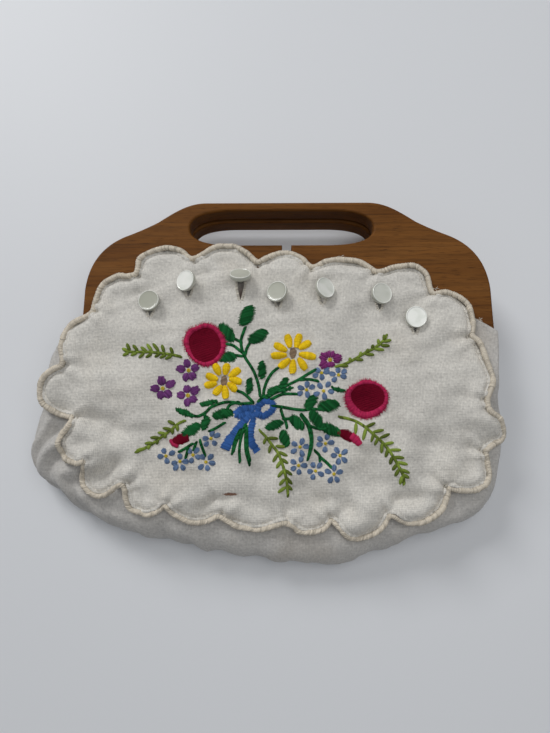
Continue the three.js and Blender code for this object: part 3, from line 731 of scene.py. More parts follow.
def add_cover(name, spacing, height_at):
    """Cut a cover, lift it to its height and give it its thickness upward."""
    flat, faces = cut_cloth(spacing)
    mesh = bpy.data.meshes.new(name)
    points = np.column_stack([flat, height_at(flat[:, 0], flat[:, 1])])
    mesh.from_pydata(points.tolist(), [], faces.tolist())
    add_cloth_map(mesh, flat)
    mesh.shade_smooth()
    cover = bpy.data.objects.new(name, mesh)
    bpy.context.scene.collection.objects.link(cover)
    wall = cover.modifiers.new("Cloth thickness", "SOLIDIFY")
    wall.thickness, wall.offset = cloth_thick, 1
    return as_plain_mesh(cover)


def back_cover_height(x, y):
    return 0.0039 * (1 - ease(past_boards(x, y) / 0.030))


# The third buttonhole gapes, and what shows in its slit is brown. Low down the cover has a fleck
# of rust colour.
# The pouch cloth under that slit is darkened to brown.
stain = np.subtract(button_places[2], (0, 0.0085))
away = np.array([math.dist(vertex.co.xy, stain) for vertex in pouch.data.vertices])
pouch.data.attributes.new("dirt", "FLOAT", "POINT").data.foreach_set(
    "value", (0.9 * np.exp(-((away / 0.0055) ** 2))).astype(np.float32))
rust_spot = from_photo(229.5, 494.6, pouch_top + cloth_thick)
cover_linen = linen_finish("Cover linen", (0.725, 0.699, 0.645), (0.69, 0.655, 0.59), rust_spot)
cover_front = add_cover("cover_front_linen", 0.0013, cover_height)
cover_back = add_cover("cover_back_linen", 0.0024, back_cover_height)
for cover, node in ((cover_front, "cover_front"), (cover_back, "cover_back")):
    cover.data.materials.append(cover_linen)
    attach(cover, "root")
    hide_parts(node)


# A cord runs round the edge of each cover. The cover's edge is rolled over it and whipped on with
# cream thread, so that it shows as close slanting ridges, a little yellower than the linen.
def whipped_cord_tree():
    """Lays a round core along a loop of edges and winds rings of thread round it."""
    tree = bpy.data.node_groups.new("Whipped cord", "GeometryNodeTree")
    tree.interface.new_socket("Geometry", in_out="INPUT", socket_type="NodeSocketGeometry")
    for name in ("Cord radius", "Thread width", "Stitch pitch", "Slant"):
        tree.interface.new_socket(name, in_out="INPUT", socket_type="NodeSocketFloat")
    tree.interface.new_socket("Thread", in_out="INPUT", socket_type="NodeSocketMaterial")
    tree.interface.new_socket("Geometry", in_out="OUTPUT", socket_type="NodeSocketGeometry")
    given = add_node(tree, "NodeGroupInput").outputs
    path = add_node(tree, "GeometryNodeMeshToCurve", {"Mesh": given["Geometry"]}).outputs["Curve"]
    thread_half = calculate(tree, "MULTIPLY", given["Thread width"], 0.5)
    ring_radius = calculate(tree, "SUBTRACT", given["Cord radius"], thread_half)
    core_line = add_node(tree, "GeometryNodeResampleCurve", {"Curve": path, "Length": 0.0013},
                         mode="LENGTH").outputs["Curve"]
    core_round = add_node(tree, "GeometryNodeCurvePrimitiveCircle",
                          {"Resolution": 10, "Radius": ring_radius}).outputs["Curve"]
    core = add_node(tree, "GeometryNodeCurveToMesh",
                    {"Curve": core_line, "Profile Curve": core_round}).outputs["Mesh"]
    spots = add_node(tree, "GeometryNodeCurveToPoints",
                     {"Curve": path, "Length": given["Stitch pitch"]}, mode="LENGTH").outputs
    wander = add_node(tree, "FunctionNodeRandomValue", {2: -0.28, 3: 0.28, "Seed": 4},
                      data_type="FLOAT").outputs[1]
    fullness = add_node(tree, "FunctionNodeRandomValue", {2: 0.96, 3: 1.06, "Seed": 5},
                        data_type="FLOAT").outputs[1]
    tone = add_node(tree, "FunctionNodeRandomValue", {2: -0.30, 3: 0.20, "Seed": 6},
                    data_type="FLOAT").outputs[1]
    lean = add_node(tree, "ShaderNodeCombineXYZ", {
        "X": calculate(tree, "ADD", given["Slant"], wander)}).outputs["Vector"]
    turned = add_node(tree, "FunctionNodeRotateRotation", {
        "Rotation": spots["Rotation"],
        "Rotate By": add_node(tree, "FunctionNodeEulerToRotation", {"Euler": lean}).outputs[0],
    }, rotation_space="LOCAL").outputs["Rotation"]
    ring_line = add_node(tree, "GeometryNodeCurvePrimitiveCircle",
                         {"Resolution": 10, "Radius": ring_radius}).outputs["Curve"]
    strand = add_node(tree, "GeometryNodeCurvePrimitiveCircle",
                      {"Resolution": 5, "Radius": thread_half}).outputs["Curve"]
    ring = add_node(tree, "GeometryNodeCurveToMesh",
                    {"Curve": ring_line, "Profile Curve": strand}).outputs["Mesh"]
    rings = add_node(tree, "GeometryNodeInstanceOnPoints", {
        "Points": spots["Points"], "Instance": ring, "Rotation": turned,
        "Scale": fullness}).outputs["Instances"]
    rings = add_node(tree, "GeometryNodeStoreNamedAttribute", {
        "Geometry": rings, "Name": "tone", "Value": tone}, domain="INSTANCE").outputs["Geometry"]
    both = add_node(tree, "GeometryNodeJoinGeometry", {"Geometry": core})
    tree.links.new(rings, both.inputs["Geometry"])
    finish_piece(tree, both.outputs["Geometry"], given["Thread"])
    return tree


def finish_piece(tree, shape, material):
    """The end of each tree: real faces, shaded smooth, in the material that is asked for."""
    real = add_node(tree, "GeometryNodeRealizeInstances", {"Geometry": shape}).outputs["Geometry"]
    smooth = add_node(tree, "GeometryNodeSetShadeSmooth", {"Geometry": real}).outputs["Geometry"]
    painted = add_node(tree, "GeometryNodeSetMaterial",
                       {"Geometry": smooth, "Material": material}).outputs["Geometry"]
    add_node(tree, "NodeGroupOutput", {"Geometry": painted})


def run_tree(name, mesh, tree, **values):
    """Run a tree on a mesh with the named inputs, and keep the result as a plain mesh."""
    line = bpy.data.objects.new(name, mesh)
    bpy.context.scene.collection.objects.link(line)
    modifier = line.modifiers.new(tree.name, "NODES")
    modifier.node_group = tree
    for socket in tree.interface.items_tree:
        key = socket.name.lower().replace(" ", "_")
        if socket.in_out == "INPUT" and key in values:
            modifier[socket.identifier] = values[key]
    return as_plain_mesh(line)


def thread_finish(name, color, gloss):
    """Stranded thread: a soft shine, thin twisted plies, and a tone that differs by stitch."""
    plies_a_metre = 900.0
    material, tree, surface = new_finish(name)
    along = add_node(tree, "ShaderNodeAttribute", attribute_name="along").outputs["Fac"]
    around = add_node(tree, "ShaderNodeAttribute", attribute_name="around").outputs["Fac"]
    tone = add_node(tree, "ShaderNodeAttribute", attribute_name="tone").outputs["Fac"]
    coords = add_node(tree, "ShaderNodeTexCoord").outputs["Object"]
    turns = calculate(tree, "ADD", calculate(tree, "MULTIPLY", along, plies_a_metre),
                      calculate(tree, "MULTIPLY", around, 3.0))
    ply = calculate(tree, "SINE", calculate(tree, "MULTIPLY", turns, 2 * math.pi))
    fuzz = stretched_noise(tree, coords, (900, 900, 900), Detail=2.0)
    # The ply stripes darken the colour along the twist: painted shade between the plies. The fuzz and the
    # tone by stitch are the thread's own.
    shade = calculate(tree, "ADD", calculate(tree, "MULTIPLY", ply, 0.07),
                      calculate(tree, "MULTIPLY", fuzz, 0.3))
    shade = calculate(tree, "ADD", shade, calculate(tree, "ADD", tone, 0.85))
    grey = add_node(tree, "ShaderNodeCombineColor", {"Red": shade, "Green": shade, "Blue": shade})
    mixed = mix_colors(tree, 1.0, (*color, 1), grey.outputs["Color"], "MULTIPLY")
    tree.links.new(mixed, surface.inputs["Base Color"])
    surface.inputs["Roughness"].default_value = 1 - gloss
    surface.inputs["Specular IOR Level"].default_value = 0.06
    bump = add_node(tree, "ShaderNodeBump", {
        "Height": calculate(tree, "ADD", ply, fuzz), "Strength": 0.5, "Distance": 0.00007})
    tree.links.new(bump.outputs["Normal"], surface.inputs["Normal"])
    return material


def loop_mesh(name, points):
    mesh = bpy.data.meshes.new(name)
    count = len(points)
    mesh.from_pydata(points.tolist(), [(i, (i + 1) % count) for i in range(count)], [])
    return mesh


cord_thread = thread_finish("Cream cord thread", (0.62, 0.56, 0.465), 0.3)
cord_tree = whipped_cord_tree()
held = 1 - ease(past_boards(*edge_line.T) / 0.030)
uneven = crumple(*edge_line.T, 0.010, 0.0002, 14)
front_cord_z = lying_cover(*edge_line.T) + cord_radius + np.abs(uneven)
back_cord_z = (cord_radius + 0.0002) * (1 - held) + (pouch_under_boards - clear - cord_radius) * held
for side, node, height in (("front", "edge_cord_front", front_cord_z),
                           ("back", "edge_cord_back", back_cord_z)):
    line = loop_mesh(f"cord_{side}", np.column_stack([edge_line + uneven[:, None], height]))
    cord = run_tree(f"cord_{side}", line, cord_tree, cord_radius=cord_radius, thread_width=0.0009,
                    stitch_pitch=0.00105, slant=0.7, thread=cord_thread)
    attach(cord, "root")
    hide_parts(node)


# Everything sewn with thread is stitches laid on the cover: the running stitch beside the cord, the
# buttonholes' stitched edges and, below, the flowers. A stitch dives into the cloth at both ends.
def stitch_tree():
    """Turns each edge of a mesh into a stitch, arched and thinner where it enters the cloth."""
    tree = bpy.data.node_groups.new("Stitches", "GeometryNodeTree")
    tree.interface.new_socket("Geometry", in_out="INPUT", socket_type="NodeSocketGeometry")
    tree.interface.new_socket("Thread width", in_out="INPUT", socket_type="NodeSocketFloat")
    tree.interface.new_socket("Thread", in_out="INPUT", socket_type="NodeSocketMaterial")
    tree.interface.new_socket("Geometry", in_out="OUTPUT", socket_type="NodeSocketGeometry")
    given = add_node(tree, "NodeGroupInput").outputs
    lines = add_node(tree, "GeometryNodeMeshToCurve", {"Mesh": given["Geometry"]}).outputs["Curve"]
    lines = add_node(tree, "GeometryNodeResampleCurve", {"Curve": lines, "Count": 6}).outputs["Curve"]
    spline = add_node(tree, "GeometryNodeSplineParameter").outputs
    arch = calculate(tree, "SINE", calculate(tree, "MULTIPLY", spline["Factor"], math.pi))
    arch = calculate(tree, "POWER", calculate(tree, "ABSOLUTE", arch), 0.6)
    rise = add_node(tree, "GeometryNodeInputNamedAttribute", {"Name": "rise"}).outputs[0]
    lift = add_node(tree, "ShaderNodeCombineXYZ",
                    {"Z": calculate(tree, "MULTIPLY", arch, rise)}).outputs["Vector"]
    lines = add_node(tree, "GeometryNodeSetPosition", {"Geometry": lines, "Offset": lift}).outputs[0]
    lines = add_node(tree, "GeometryNodeStoreNamedAttribute", {
        "Geometry": lines, "Name": "along", "Value": spline["Length"]}).outputs["Geometry"]
    strand = add_node(tree, "GeometryNodeCurvePrimitiveCircle", {
        "Resolution": 7, "Radius": calculate(tree, "MULTIPLY", given["Thread width"], 0.5)})
    round_strand = add_node(tree, "GeometryNodeStoreNamedAttribute", {
        "Geometry": strand.outputs["Curve"], "Name": "around", "Value": spline["Factor"]})
    thick = add_node(tree, "GeometryNodeInputNamedAttribute", {"Name": "thickness"}).outputs[0]
    swell = calculate(tree, "MULTIPLY", thick, calculate(
        tree, "ADD", calculate(tree, "MULTIPLY", arch, 0.5), 0.5))
    tube = add_node(tree, "GeometryNodeCurveToMesh", {
        "Curve": lines, "Profile Curve": round_strand.outputs["Geometry"], "Scale": swell,
        "Fill Caps": True}).outputs["Mesh"]
    finish_piece(tree, tube, given["Thread"])
    return tree


stitches = stitch_tree()
tones = np.random.default_rng(12)


def sew(name, rows, thread_width, thread, contrast=0.3):
    """Sew stitches on the cover. A row has both ends in metres, thickness, rise and lift."""
    rows = np.array(rows, float)
    count = len(rows)
    ends = np.concatenate([rows[:, 0:2], rows[:, 2:4]])
    z = cover_height(ends[:, 0], ends[:, 1]) + cloth_thick - 0.15 * thread_width
    mesh = bpy.data.meshes.new(name)
    mesh.from_pydata(np.column_stack([ends, z + np.tile(rows[:, 6], 2)]).tolist(),
                     [(i, count + i) for i in range(count)], [])
    for kind, values in (("thickness", rows[:, 4]), ("rise", rows[:, 5]),
                         ("tone", tones.uniform(-contrast, 0.7 * contrast, count))):
        mesh.attributes.new(kind, "FLOAT", "POINT").data.foreach_set(
            "value", np.tile(values, 2).astype(np.float32))
    piece = run_tree(name, mesh, stitches, thread_width=thread_width, thread=thread)
    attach(piece, "root")
    return piece


def beside_cord():
    """A running stitch in the ditch between the cord and the cloth."""
    line = edge_line - outward_of(edge_line[::-1])[::-1] * 0.0030
    return [(*line[i], *line[i + 2], 1, 0.0003, 0) for i in range(0, len(line) - 2, 3)]


def round_buttonholes(lengths):
    """Close stitches outward from the edge of each buttonhole."""
    rows = []
    for centre, length in zip(button_places, lengths):
        rim = smooth_loop(buttonhole(centre, length), 0.00062)
        for spot, out in zip(rim, outward_of(rim)):
            rows.append((*(spot - out * 0.0001), *(spot + out * 0.0017), 1, 0.0002, 0))
    return rows


sewing_thread = thread_finish("Cream sewing thread", (0.68, 0.64, 0.56), 0.3)
sewn_on_front = [
    sew("stitches_beside_cord", beside_cord(), 0.0007, sewing_thread),
    sew("buttonhole_stitches", round_buttonholes(hole_lengths), 0.0007, sewing_thread)]


# Pearly buttons, seven along each mouth. A head is a low disc with a raised rim, on a short
# shank sewn to the pouch, and tips over where the buttonhole pulls at it.
button_low, button_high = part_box("button_back_1")
button_radius, button_thick = (button_high.x - button_low.x) / 2 * 1.07, 0.0034
# How grey each front button's face is, matched to how bright it looked: part the pearl's own grey-green
# tint, part painted shade and highlight.
tint_and_painted_light_by_button = [0.90, 0.05, 0.75, 0.85, 0.20, 0.45, 0.0]


def pearl_finish():
    material, tree, surface = new_finish("Pearl button")
    coords = add_node(tree, "ShaderNodeTexCoord").outputs["Object"]
    swirl = stretched_noise(tree, coords, (90, 150, 90), Detail=2.0, Distortion=0.8)
    lustre = color_ramp(tree, swirl, [(0.30, (0.80, 0.82, 0.75)), (0.50, (0.92, 0.93, 0.87)),
                                      (0.70, (0.98, 0.98, 0.93))])
    tint_and_painted_light = add_node(tree, "ShaderNodeAttribute", attribute_name="tint_and_painted_light").outputs["Fac"]
    # Mixed toward grey-green by the attribute: the pearl's own tint, painted shade on the wall, and a
    # painted highlight where the rim is kept light.
    color = mix_colors(tree, tint_and_painted_light, lustre, (0.34, 0.345, 0.27, 1))
    tree.links.new(color, surface.inputs["Base Color"])
    surface.inputs["Roughness"].default_value = 0.22
    surface.inputs["Coat Weight"].default_value = 0.6
    surface.inputs["Coat Roughness"].default_value = 0.06
    bump = add_node(tree, "ShaderNodeBump", {"Height": swirl, "Strength": 0.15, "Distance": 0.0002})
    tree.links.new(bump.outputs["Normal"], surface.inputs["Normal"])
    return material


def lathe(profile, sides):
    """A closed round solid from its outline, given as distance out and height, from the bottom."""
    turns = np.linspace(0, 2 * math.pi, sides, endpoint=False)
    rings = [np.column_stack([out * np.cos(turns), out * np.sin(turns), np.full(sides, up)])
             for out, up in profile]
    points = np.concatenate([[[0, 0, profile[0][1]]], *rings, [[0, 0, profile[-1][1]]]])
    here, beyond = np.arange(sides), (np.arange(sides) + 1) % sides
    faces = [(0, 1 + b, 1 + a) for a, b in zip(here, beyond)]
    for ring in range(len(rings) - 1):
        base = 1 + ring * sides
        faces += [(base + a, base + b, base + sides + b, base + sides + a)
                  for a, b in zip(here, beyond)]
    base, top = 1 + (len(rings) - 1) * sides, len(points) - 1
    faces += [(top, base + a, base + b) for a, b in zip(here, beyond)]
    return points, faces


def button_mesh(name, tilt, toward, raised, shank_length, tint_and_painted_light):
    """The head and its shank. The face is as grey as asked, the raised rim painted bright as a highlight,
    the wall painted dark as shade.
    """
    head = [(0.30, 0.00), (0.78, 0.01), (0.93, 0.10), (1.0, 0.28), (1.01, 0.55), (1.0, 0.84),
            (0.985, 0.96), (0.955, 1.00), (0.925, 0.985), (0.90, 0.93), (0.86, 0.91), (0.40, 0.90)]
    # Painted shade on the wall, a painted highlight on the raised rim, and the face as grey as asked.
    ring_tint_and_painted_light = [max(tint_and_painted_light, 0.7)] * 6 + [tint_and_painted_light * 0.3] * 3 + [tint_and_painted_light] * 3
    points, faces = lathe([(r * button_radius, z * button_thick) for r, z in head], 36)
    axis = Vector((-math.sin(toward), math.cos(toward), 0))
    turn = np.array(Matrix.Rotation(tilt, 3, axis))
    points = points @ turn.T + (0, 0, raised)
    shank = [(shank_radius * r, z) for r, z in (
        (0.9, 0.0), (1.0, 0.0003), (1.0, shank_length - 0.0003), (0.9, shank_length))]
    more, more_faces = lathe(shank, 16)
    faces = faces + [tuple(len(points) + i for i in face) for face in more_faces]
    mesh = bpy.data.meshes.new(name)
    mesh.from_pydata(np.concatenate([points, more]).tolist(), [], faces)
    point_tint_and_painted_light = [ring_tint_and_painted_light[0], *np.repeat(ring_tint_and_painted_light, 36), ring_tint_and_painted_light[-1], *[0.8] * len(more)]
    mesh.attributes.new("tint_and_painted_light", "FLOAT", "POINT").data.foreach_set("value", np.float32(point_tint_and_painted_light))
    return mesh


def add_button(name, node, mesh, place_matrix):
    mesh.transform(place_matrix)
    mesh.shade_smooth()
    button = bpy.data.objects.new(name, mesh)
    bpy.context.scene.collection.objects.link(button)
    button.modifiers.new("Soft rim", "SUBSURF").levels = 1
    button.modifiers[0].render_levels = 1
    button = as_plain_mesh(button)
    button.data.materials.append(pearl)
    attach(button, "root")
    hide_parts(node)


pearl = pearl_finish()
for i, (row, centre, tint_and_painted_light) in enumerate(zip(buttons, button_places, tint_and_painted_light_by_button)):
    tilt, toward = math.radians(row[2]), math.radians(row[3])
    raised = cloth_thick + 3 * clear + 0.0003 + 0.85 * button_radius * math.sin(tilt)
    length = raised + button_thick / 2 * math.cos(tilt)
    mesh = button_mesh(f"pearl_button_front_{i + 1}", tilt, toward, raised, length, tint_and_painted_light)
    add_button(mesh.name, f"button_front_{i + 1}", mesh, Matrix.Translation((*centre, pouch_top + clear)))
    raised = pouch_under_boards - clear - button_thick
    mesh = button_mesh(f"pearl_button_back_{i + 1}", 0, 0, raised, raised + button_thick / 2, 0.2)
    face_down = Matrix.Rotation(math.pi, 4, "X")
    add_button(mesh.name, f"button_back_{i + 1}", mesh,
               Matrix.Translation((*centre, pouch_under_boards - clear)) @ face_down)


# The front cover carries a tied bouquet in wool. All its places are read from the
# photograph, in pixels. The two roses have a flat crimson heart and a stuffed pink rim.
hand = np.random.default_rng(7)
roses = [  # heart's middle, heart's edge, rim's outer edge
    ((205, 344),
     [(205, 328), (213, 330), (219, 337), (221, 345), (219.5, 353), (214, 359.5), (206, 362.5),
      (198, 361), (192, 354.5), (189.5, 346), (189.5, 338), (195, 331.5)],
     [(184, 342), (186, 334), (190, 328.5), (197, 326.5), (206, 323.5), (216, 327), (222, 334),
      (226, 343), (224, 352), (220, 359), (213, 364.5), (205, 366.5), (198, 364), (192, 359), (187, 352)]),
    ((367, 397),
     [(351, 398), (352, 391), (357, 386), (364, 384), (374, 384.5), (381, 388), (384.5, 395), (384, 402),
      (379, 407), (371, 411), (363, 411.5), (356, 407)],
     [(344.5, 398), (347, 390), (352, 385.5), (358, 383), (362, 380.5), (368, 380), (374, 382),
      (380, 385), (386, 391), (388, 398), (387, 404), (384, 410), (378, 415), (370, 418),
      (362, 418.5), (354, 415), (348, 409)]),
]
rosebuds = [  # heart, pink edge: each a line and its widths
    ([(174, 442), (179, 439.5), (188, 437)], (8, 12, 9),
     [(170.5, 440), (173, 444), (178, 446.5)], (3, 5, 3.5)),
    ([(338, 432.5), (345, 434), (352.5, 438.5)], (6, 11, 10),
     [(351, 436), (356, 439.5), (360, 444.5)], (9, 9, 6)),
]


def stitch(start, end, thickness=1.0, rise=0.3, lift=0.0):
    """A stitch between two pixels, with its rise and lift in millimetres."""
    return (*start, *end, thickness, rise / 1000, lift / 1000)


def walk_along(line, pitch):
    """Even steps along a smooth line: places, directions, and the share of its length."""
    line = np.asarray(line, float)
    if len(line) > 2:
        padded = np.vstack([2 * line[0] - line[1], line, 2 * line[-1] - line[-2]])
        t = np.linspace(0, 1, 10, endpoint=False)[:, None]
        runs = [smooth_between(t, *four) for four in zip(padded, padded[1:], padded[2:], padded[3:])]
        line = np.vstack([*runs, line[-1:]])
    gone = np.append(0, np.cumsum(np.linalg.norm(np.diff(line, axis=0), axis=1)))
    steps = np.linspace(0, gone[-1], max(2, round(gone[-1] / pitch) + 1))
    spots = np.column_stack([np.interp(steps, gone, line[:, k]) for k in (0, 1)])
    runs = np.gradient(spots, axis=0)
    return spots, runs / np.linalg.norm(runs, axis=1)[:, None], steps / gone[-1]


def satin(line, widths, pitch=0.95, slant=0.0, jag=0.3, rise=0.3, lift=0.0):
    """Stitches side by side across a line, as long as the widths along it say."""
    spots, runs, shares = walk_along(line, pitch)
    reach = np.interp(shares, np.linspace(0, 1, len(widths)), widths) / 2
    rows = []
    for spot, run, half in zip(spots, runs, reach):
        side = np.array([-run[1], run[0]]) + run * slant
        near, far = half + hand.uniform(-jag, jag, 2)
        rows.append(stitch(spot - side * near, spot + side * far, 1, rise, lift))
    return rows


def stem_stitches(line, length=3.6, lean=0.8, rise=0.3, thickness=1.0):
    """Stitches along a line, each starting beside the middle of the one before it."""
    spots, runs, _ = walk_along(line, length / 2)
    return [stitch(spot - run * length * 0.55 - (-run[1] * lean, run[0] * lean),
                   spot + run * length * 0.55 + (-run[1] * lean, run[0] * lean), thickness, rise)
            for spot, run in zip(spots, runs)]


def sew_seen(name, rows, thread_width, thread, contrast=0.3):
    """Sew stitches that are given by their pixels in the photograph."""
    rows = np.array(rows, float)
    pixels = rows[:, :4].reshape(-1, 2)
    height = np.full(len(pixels), pouch_top)
    for _ in range(2):
        x, y = from_photo(*pixels.T, height)
        height = cover_height(x, y) + cloth_thick
    rows[:, :4] = np.column_stack(from_photo(*pixels.T, height)).reshape(-1, 4)
    sewn_on_front.append(sew(name, rows, thread_width, thread, contrast))


def rose_heart(edge):
    """Rows of short stitches, laid like bricks, that fill an outline."""
    edge = smooth_loop(edge, 0.8)
    low, high = edge.min(0), edge.max(0)
    rows = []
    for i, down in enumerate(np.arange(low[1] + 0.4, high[1], 0.66)):
        across = np.sort([a[0] + (down - a[1]) / (b[1] - a[1]) * (b[0] - a[0])
                          for a, b in zip(edge, np.roll(edge, -1, axis=0))
                          if (a[1] > down) != (b[1] > down)])
        start, stop = across[0] - 0.5, across[-1] + 0.5
        cuts = np.arange(start - (i % 3) * 2.4, stop + 7, 7) + hand.uniform(-1, 1)
        cuts = [start, *cuts[(cuts > start + 1) & (cuts < stop - 1)], stop]
        rows += [stitch((a - 0.5, down), (b + 0.5, down), 1, 0.3, 0.25) for a, b in zip(cuts, cuts[1:])]
    return rows


def rose_rim(middle, inner, outer):
    """Close stitches over a stuffed ring, from the heart's edge outward."""
    inner, outer = smooth_loop(inner, 0.5), smooth_loop(outer, 0.5)

    def reach(loop, angle):
        turned = np.arctan2(*(loop - middle).T[::-1])
        order = np.argsort(turned)
        return np.interp(angle, turned[order], np.linalg.norm(loop - middle, axis=1)[order],
                         period=2 * math.pi)

    rows = []
    for angle in np.linspace(0, 2 * math.pi, 124, endpoint=False):
        way = np.array([math.cos(angle), math.sin(angle)])
        near = reach(inner, angle) - 0.6 + hand.uniform(-0.3, 0.3)
        far = reach(outer, angle + 0.04) + 0.2 + hand.uniform(-0.3, 0.3)
        rows.append(stitch(middle + way * near, middle + way * far, 1, 1.3))
        side = np.array([-way[1], way[0]]) * hand.uniform(-1.2, 1.2)
        fuzz = middle + way * (far + hand.uniform(0.4, 2.4)) + side
        rows.append(stitch(middle + way * (far - 1.5), fuzz, 0.35, 0.7, 0.3))
    return rows


crimson = thread_finish("Crimson wool", (0.150, 0.0028, 0.016), 0.25)
pink = thread_finish("Pink wool", (0.47, 0.026, 0.095), 0.25)
hearts, rims = [], []
for middle, inner, outer in roses:
    hearts += rose_heart(inner)
    rims += rose_rim(np.array(middle), inner, outer)
for heart, widths, edge, edge_widths in rosebuds:
    hearts += satin(heart, widths, rise=0.6)
    rims += satin(edge, edge_widths, rise=0.9)
rims += satin([(349, 400), (352, 405), (356, 409.5), (361, 413)], (3.5, 4.5, 4.5, 3.5), rise=0.9, lift=0.5)
sew_seen("rose_hearts", hearts, 0.00085, crimson, 0.12)
sew_seen("rose_rims", rims, 0.0008, pink)


# Two yellow daisies. Each petal is a padded sausage of close stitches, and the middle is a small
# taupe patch worked flat.
daisies = [  # middle, then each petal from its inner end to its tip
    ((224, 381), [(219, 373, 214.5, 364.5), (225.5, 373, 227, 364), (231, 375.5, 239.5, 369),
                  (231, 378.5, 241.5, 382), (229, 384, 236.5, 390.5), (225, 387.5, 225.8, 398.5),
                  (221, 387, 214.5, 394.5), (214.5, 383.5, 205, 386), (216, 379, 206.5, 375.5)]),
    ((293, 353), [(289.5, 346, 287, 335), (297, 346, 299.5, 334.5), (301, 347.5, 310, 342),
                  (301, 354.5, 315.5, 357), (300, 360, 306, 369.5), (293, 362, 292.5, 373.5),
                  (288.5, 361, 279.5, 367.5), (284.5, 355.5, 271.5, 356), (285, 350, 274.5, 344.5)]),
]
yellow = thread_finish("Yellow wool", (0.84, 0.57, 0.014), 0.3)
taupe = thread_finish("Taupe wool", (0.29, 0.20, 0.13), 0.25)
petals, middles = [], []
for (across, down), rays in daisies:
    for x0, y0, x1, y1 in rays:
        foot = (x0 + (across - x0) * 0.22, y0 + (down - y0) * 0.22)
        petals += satin([foot, (x1, y1)], (3.4, 5.6, 6.8, 7.6, 7.8, 7.2, 5.0), 0.55, 0.12, 0.25, 1.2)
    middles += satin([(across - 0.5, down - 4.5), (across + 0.5, down + 4.5)], (4, 7, 7.5, 7, 4), 0.9, 0.3)
sew_seen("daisy_petals", petals, 0.00062, yellow, 0.16)
sew_seen("daisy_middles", middles, 0.0008, taupe)


# Violets with five notched petals round a yellow knot, and sprays of small forget-me-nots.
violets = [  # middle, then each petal's tip and width
    ((162.8, 388.5), [(161, 376, 8), (175, 381.5, 7), (150.5, 388.5, 7), (159.5, 399, 7), (171, 397.5, 8)]),
    ((188.7, 370.5), [(186, 359, 6), (176, 368, 7), (199, 366.5, 7), (184.5, 381, 6), (194.5, 379.5, 8)]),
    ((188, 395.5), [(186.5, 385, 7), (199, 387.5, 8), (177, 395, 7), (187, 406.5, 6), (196.5, 401.5, 7)]),
    ((330, 360), [(331, 350.5, 10), (320, 355, 9), (342, 357.5, 9), (320, 367.5, 8), (331, 367.5, 8)]),
]
forget_me_nots = [  # middle, then the middle of each petal
    (323.5, 391, [(320, 386), (328, 384.5), (331, 391.5), (324.5, 396.5), (316.5, 394)]),
    (306.5, 390, [(307, 384.5), (312, 387), (301, 388), (300, 393.5), (307.5, 394.5)]),
    (321.5, 373, [(326.5, 372), (315.5, 375.5), (318, 370.5), (322, 377), (326.5, 368.5)]),
    (338.5, 375, [(338, 370.5), (332.5, 374), (344, 371.5), (343.5, 376.5), (334.5, 379.5)]),
    (300, 447, [(302, 441.5), (294.5, 444), (306, 446.5), (294, 451), (302, 453.5)]),
    (298.5, 465.5, [(301, 459.5), (293.5, 462), (293.5, 468.5), (299, 472), (304, 465.5)]),
    (325.5, 443.5, [(320, 439), (327, 437), (331, 442.5), (319.5, 444.5), (325, 449.5)]),
    (340, 455.5, [(337, 450.5), (344.5, 452), (344.5, 460), (338.5, 461.5), (334, 455.5)]),
    (315.5, 471, [(313, 465), (319.5, 465.5), (310, 471.5), (313, 477), (321, 474)]),
    (334, 474, [(334, 468), (328, 471.5), (339.5, 472), (337, 479.5), (330.5, 480)]),
    (211, 438.5, [(212, 433.5), (217, 435.5), (214.5, 443), (206.5, 444), (205.5, 438.5)]),
    (193, 455, [(189.5, 451), (196.5, 450.5), (191.5, 460.5), (198, 457)]),
    (180, 461.5, [(180, 456.5), (174.5, 463), (185.5, 461.5), (176, 467.5), (183, 467.5)]),
    (206, 462, [(202.5, 457), (210.5, 457), (212, 463), (207.5, 468), (201, 467)]),
    (166, 456, [(172, 453), (160.5, 456.5), (167, 461), (164, 451)]),
]
purple = thread_finish("Purple wool", (0.155, 0.046, 0.175), 0.25)
magenta = thread_finish("Magenta wool", (0.205, 0.035, 0.155), 0.25)
slate_blue = thread_finish("Slate blue wool", (0.125, 0.190, 0.320), 0.25)
knot_yellow = thread_finish("Ochre wool", (0.55, 0.42, 0.045), 0.25)


def violet(middle, tips):
    """Stitches that fan out from the middle, with a notch at each petal's tip."""
    rows = []
    for across, down, width in tips:
        way = np.subtract((across, down), middle)
        side = np.array([-way[1], way[0]]) / np.linalg.norm(way)
        for share, far in ((-0.50, 0.78), (-0.32, 0.98), (-0.13, 1.0), (0.13, 1.0), (0.32, 0.98),
                           (0.50, 0.78)):
            start = middle + way * (0.20 + 0.3 * abs(share)) + side * share * width * 0.75
            end = middle + way * (far + hand.uniform(-0.04, 0.04)) + side * share * width * 0.88
            rows.append(stitch(start, end, 1.4, 0.6))
    return rows


def small_petal(middle, spot):
    """Four stitches beside one another that make an oval petal."""
    way = np.subtract(spot, middle)
    way /= np.linalg.norm(way)
    side = np.array([-way[1], way[0]])
    reach = 3.5 + hand.uniform(-0.5, 0.4)
    return [stitch(spot - way * reach * cut + side * share * 0.8,
                   spot + way * reach * cut + side * share * 1.1, 1.2, 0.4)
            for share, cut in ((-1.7, 0.66), (-0.6, 0.96), (0.6, 1.0), (1.7, 0.7))]


def knot(middle, size):
    """A French knot: thread wound round and pulled tight, as a ring of short stitches."""
    turns = np.linspace(0, 2 * math.pi, 7)[:-1] + hand.uniform(0, 1)
    rim = [np.add(middle, (size * math.cos(a), size * math.sin(a))) for a in turns]
    return [stitch(rim[i], rim[(i + 2) % 6], 1, 0.5, 0.15) for i in range(6)]


sew_seen("violets", [row for v in violets[:3] for row in violet(*v)], 0.00095, purple)
sew_seen("magenta_violet", violet(*violets[3]), 0.00095, magenta)
small, knots = [], []
for across, down, spots in forget_me_nots:
    for spot in spots:
        small += small_petal((across, down), np.array(spot, float))
    knots += knot((across, down), 1.5)
for middle, _ in violets:
    knots += knot(middle, 2.0)
sew_seen("forget_me_nots", small, 0.00095, slate_blue)
sew_seen("yellow_knots", knots, 0.0009, knot_yellow)


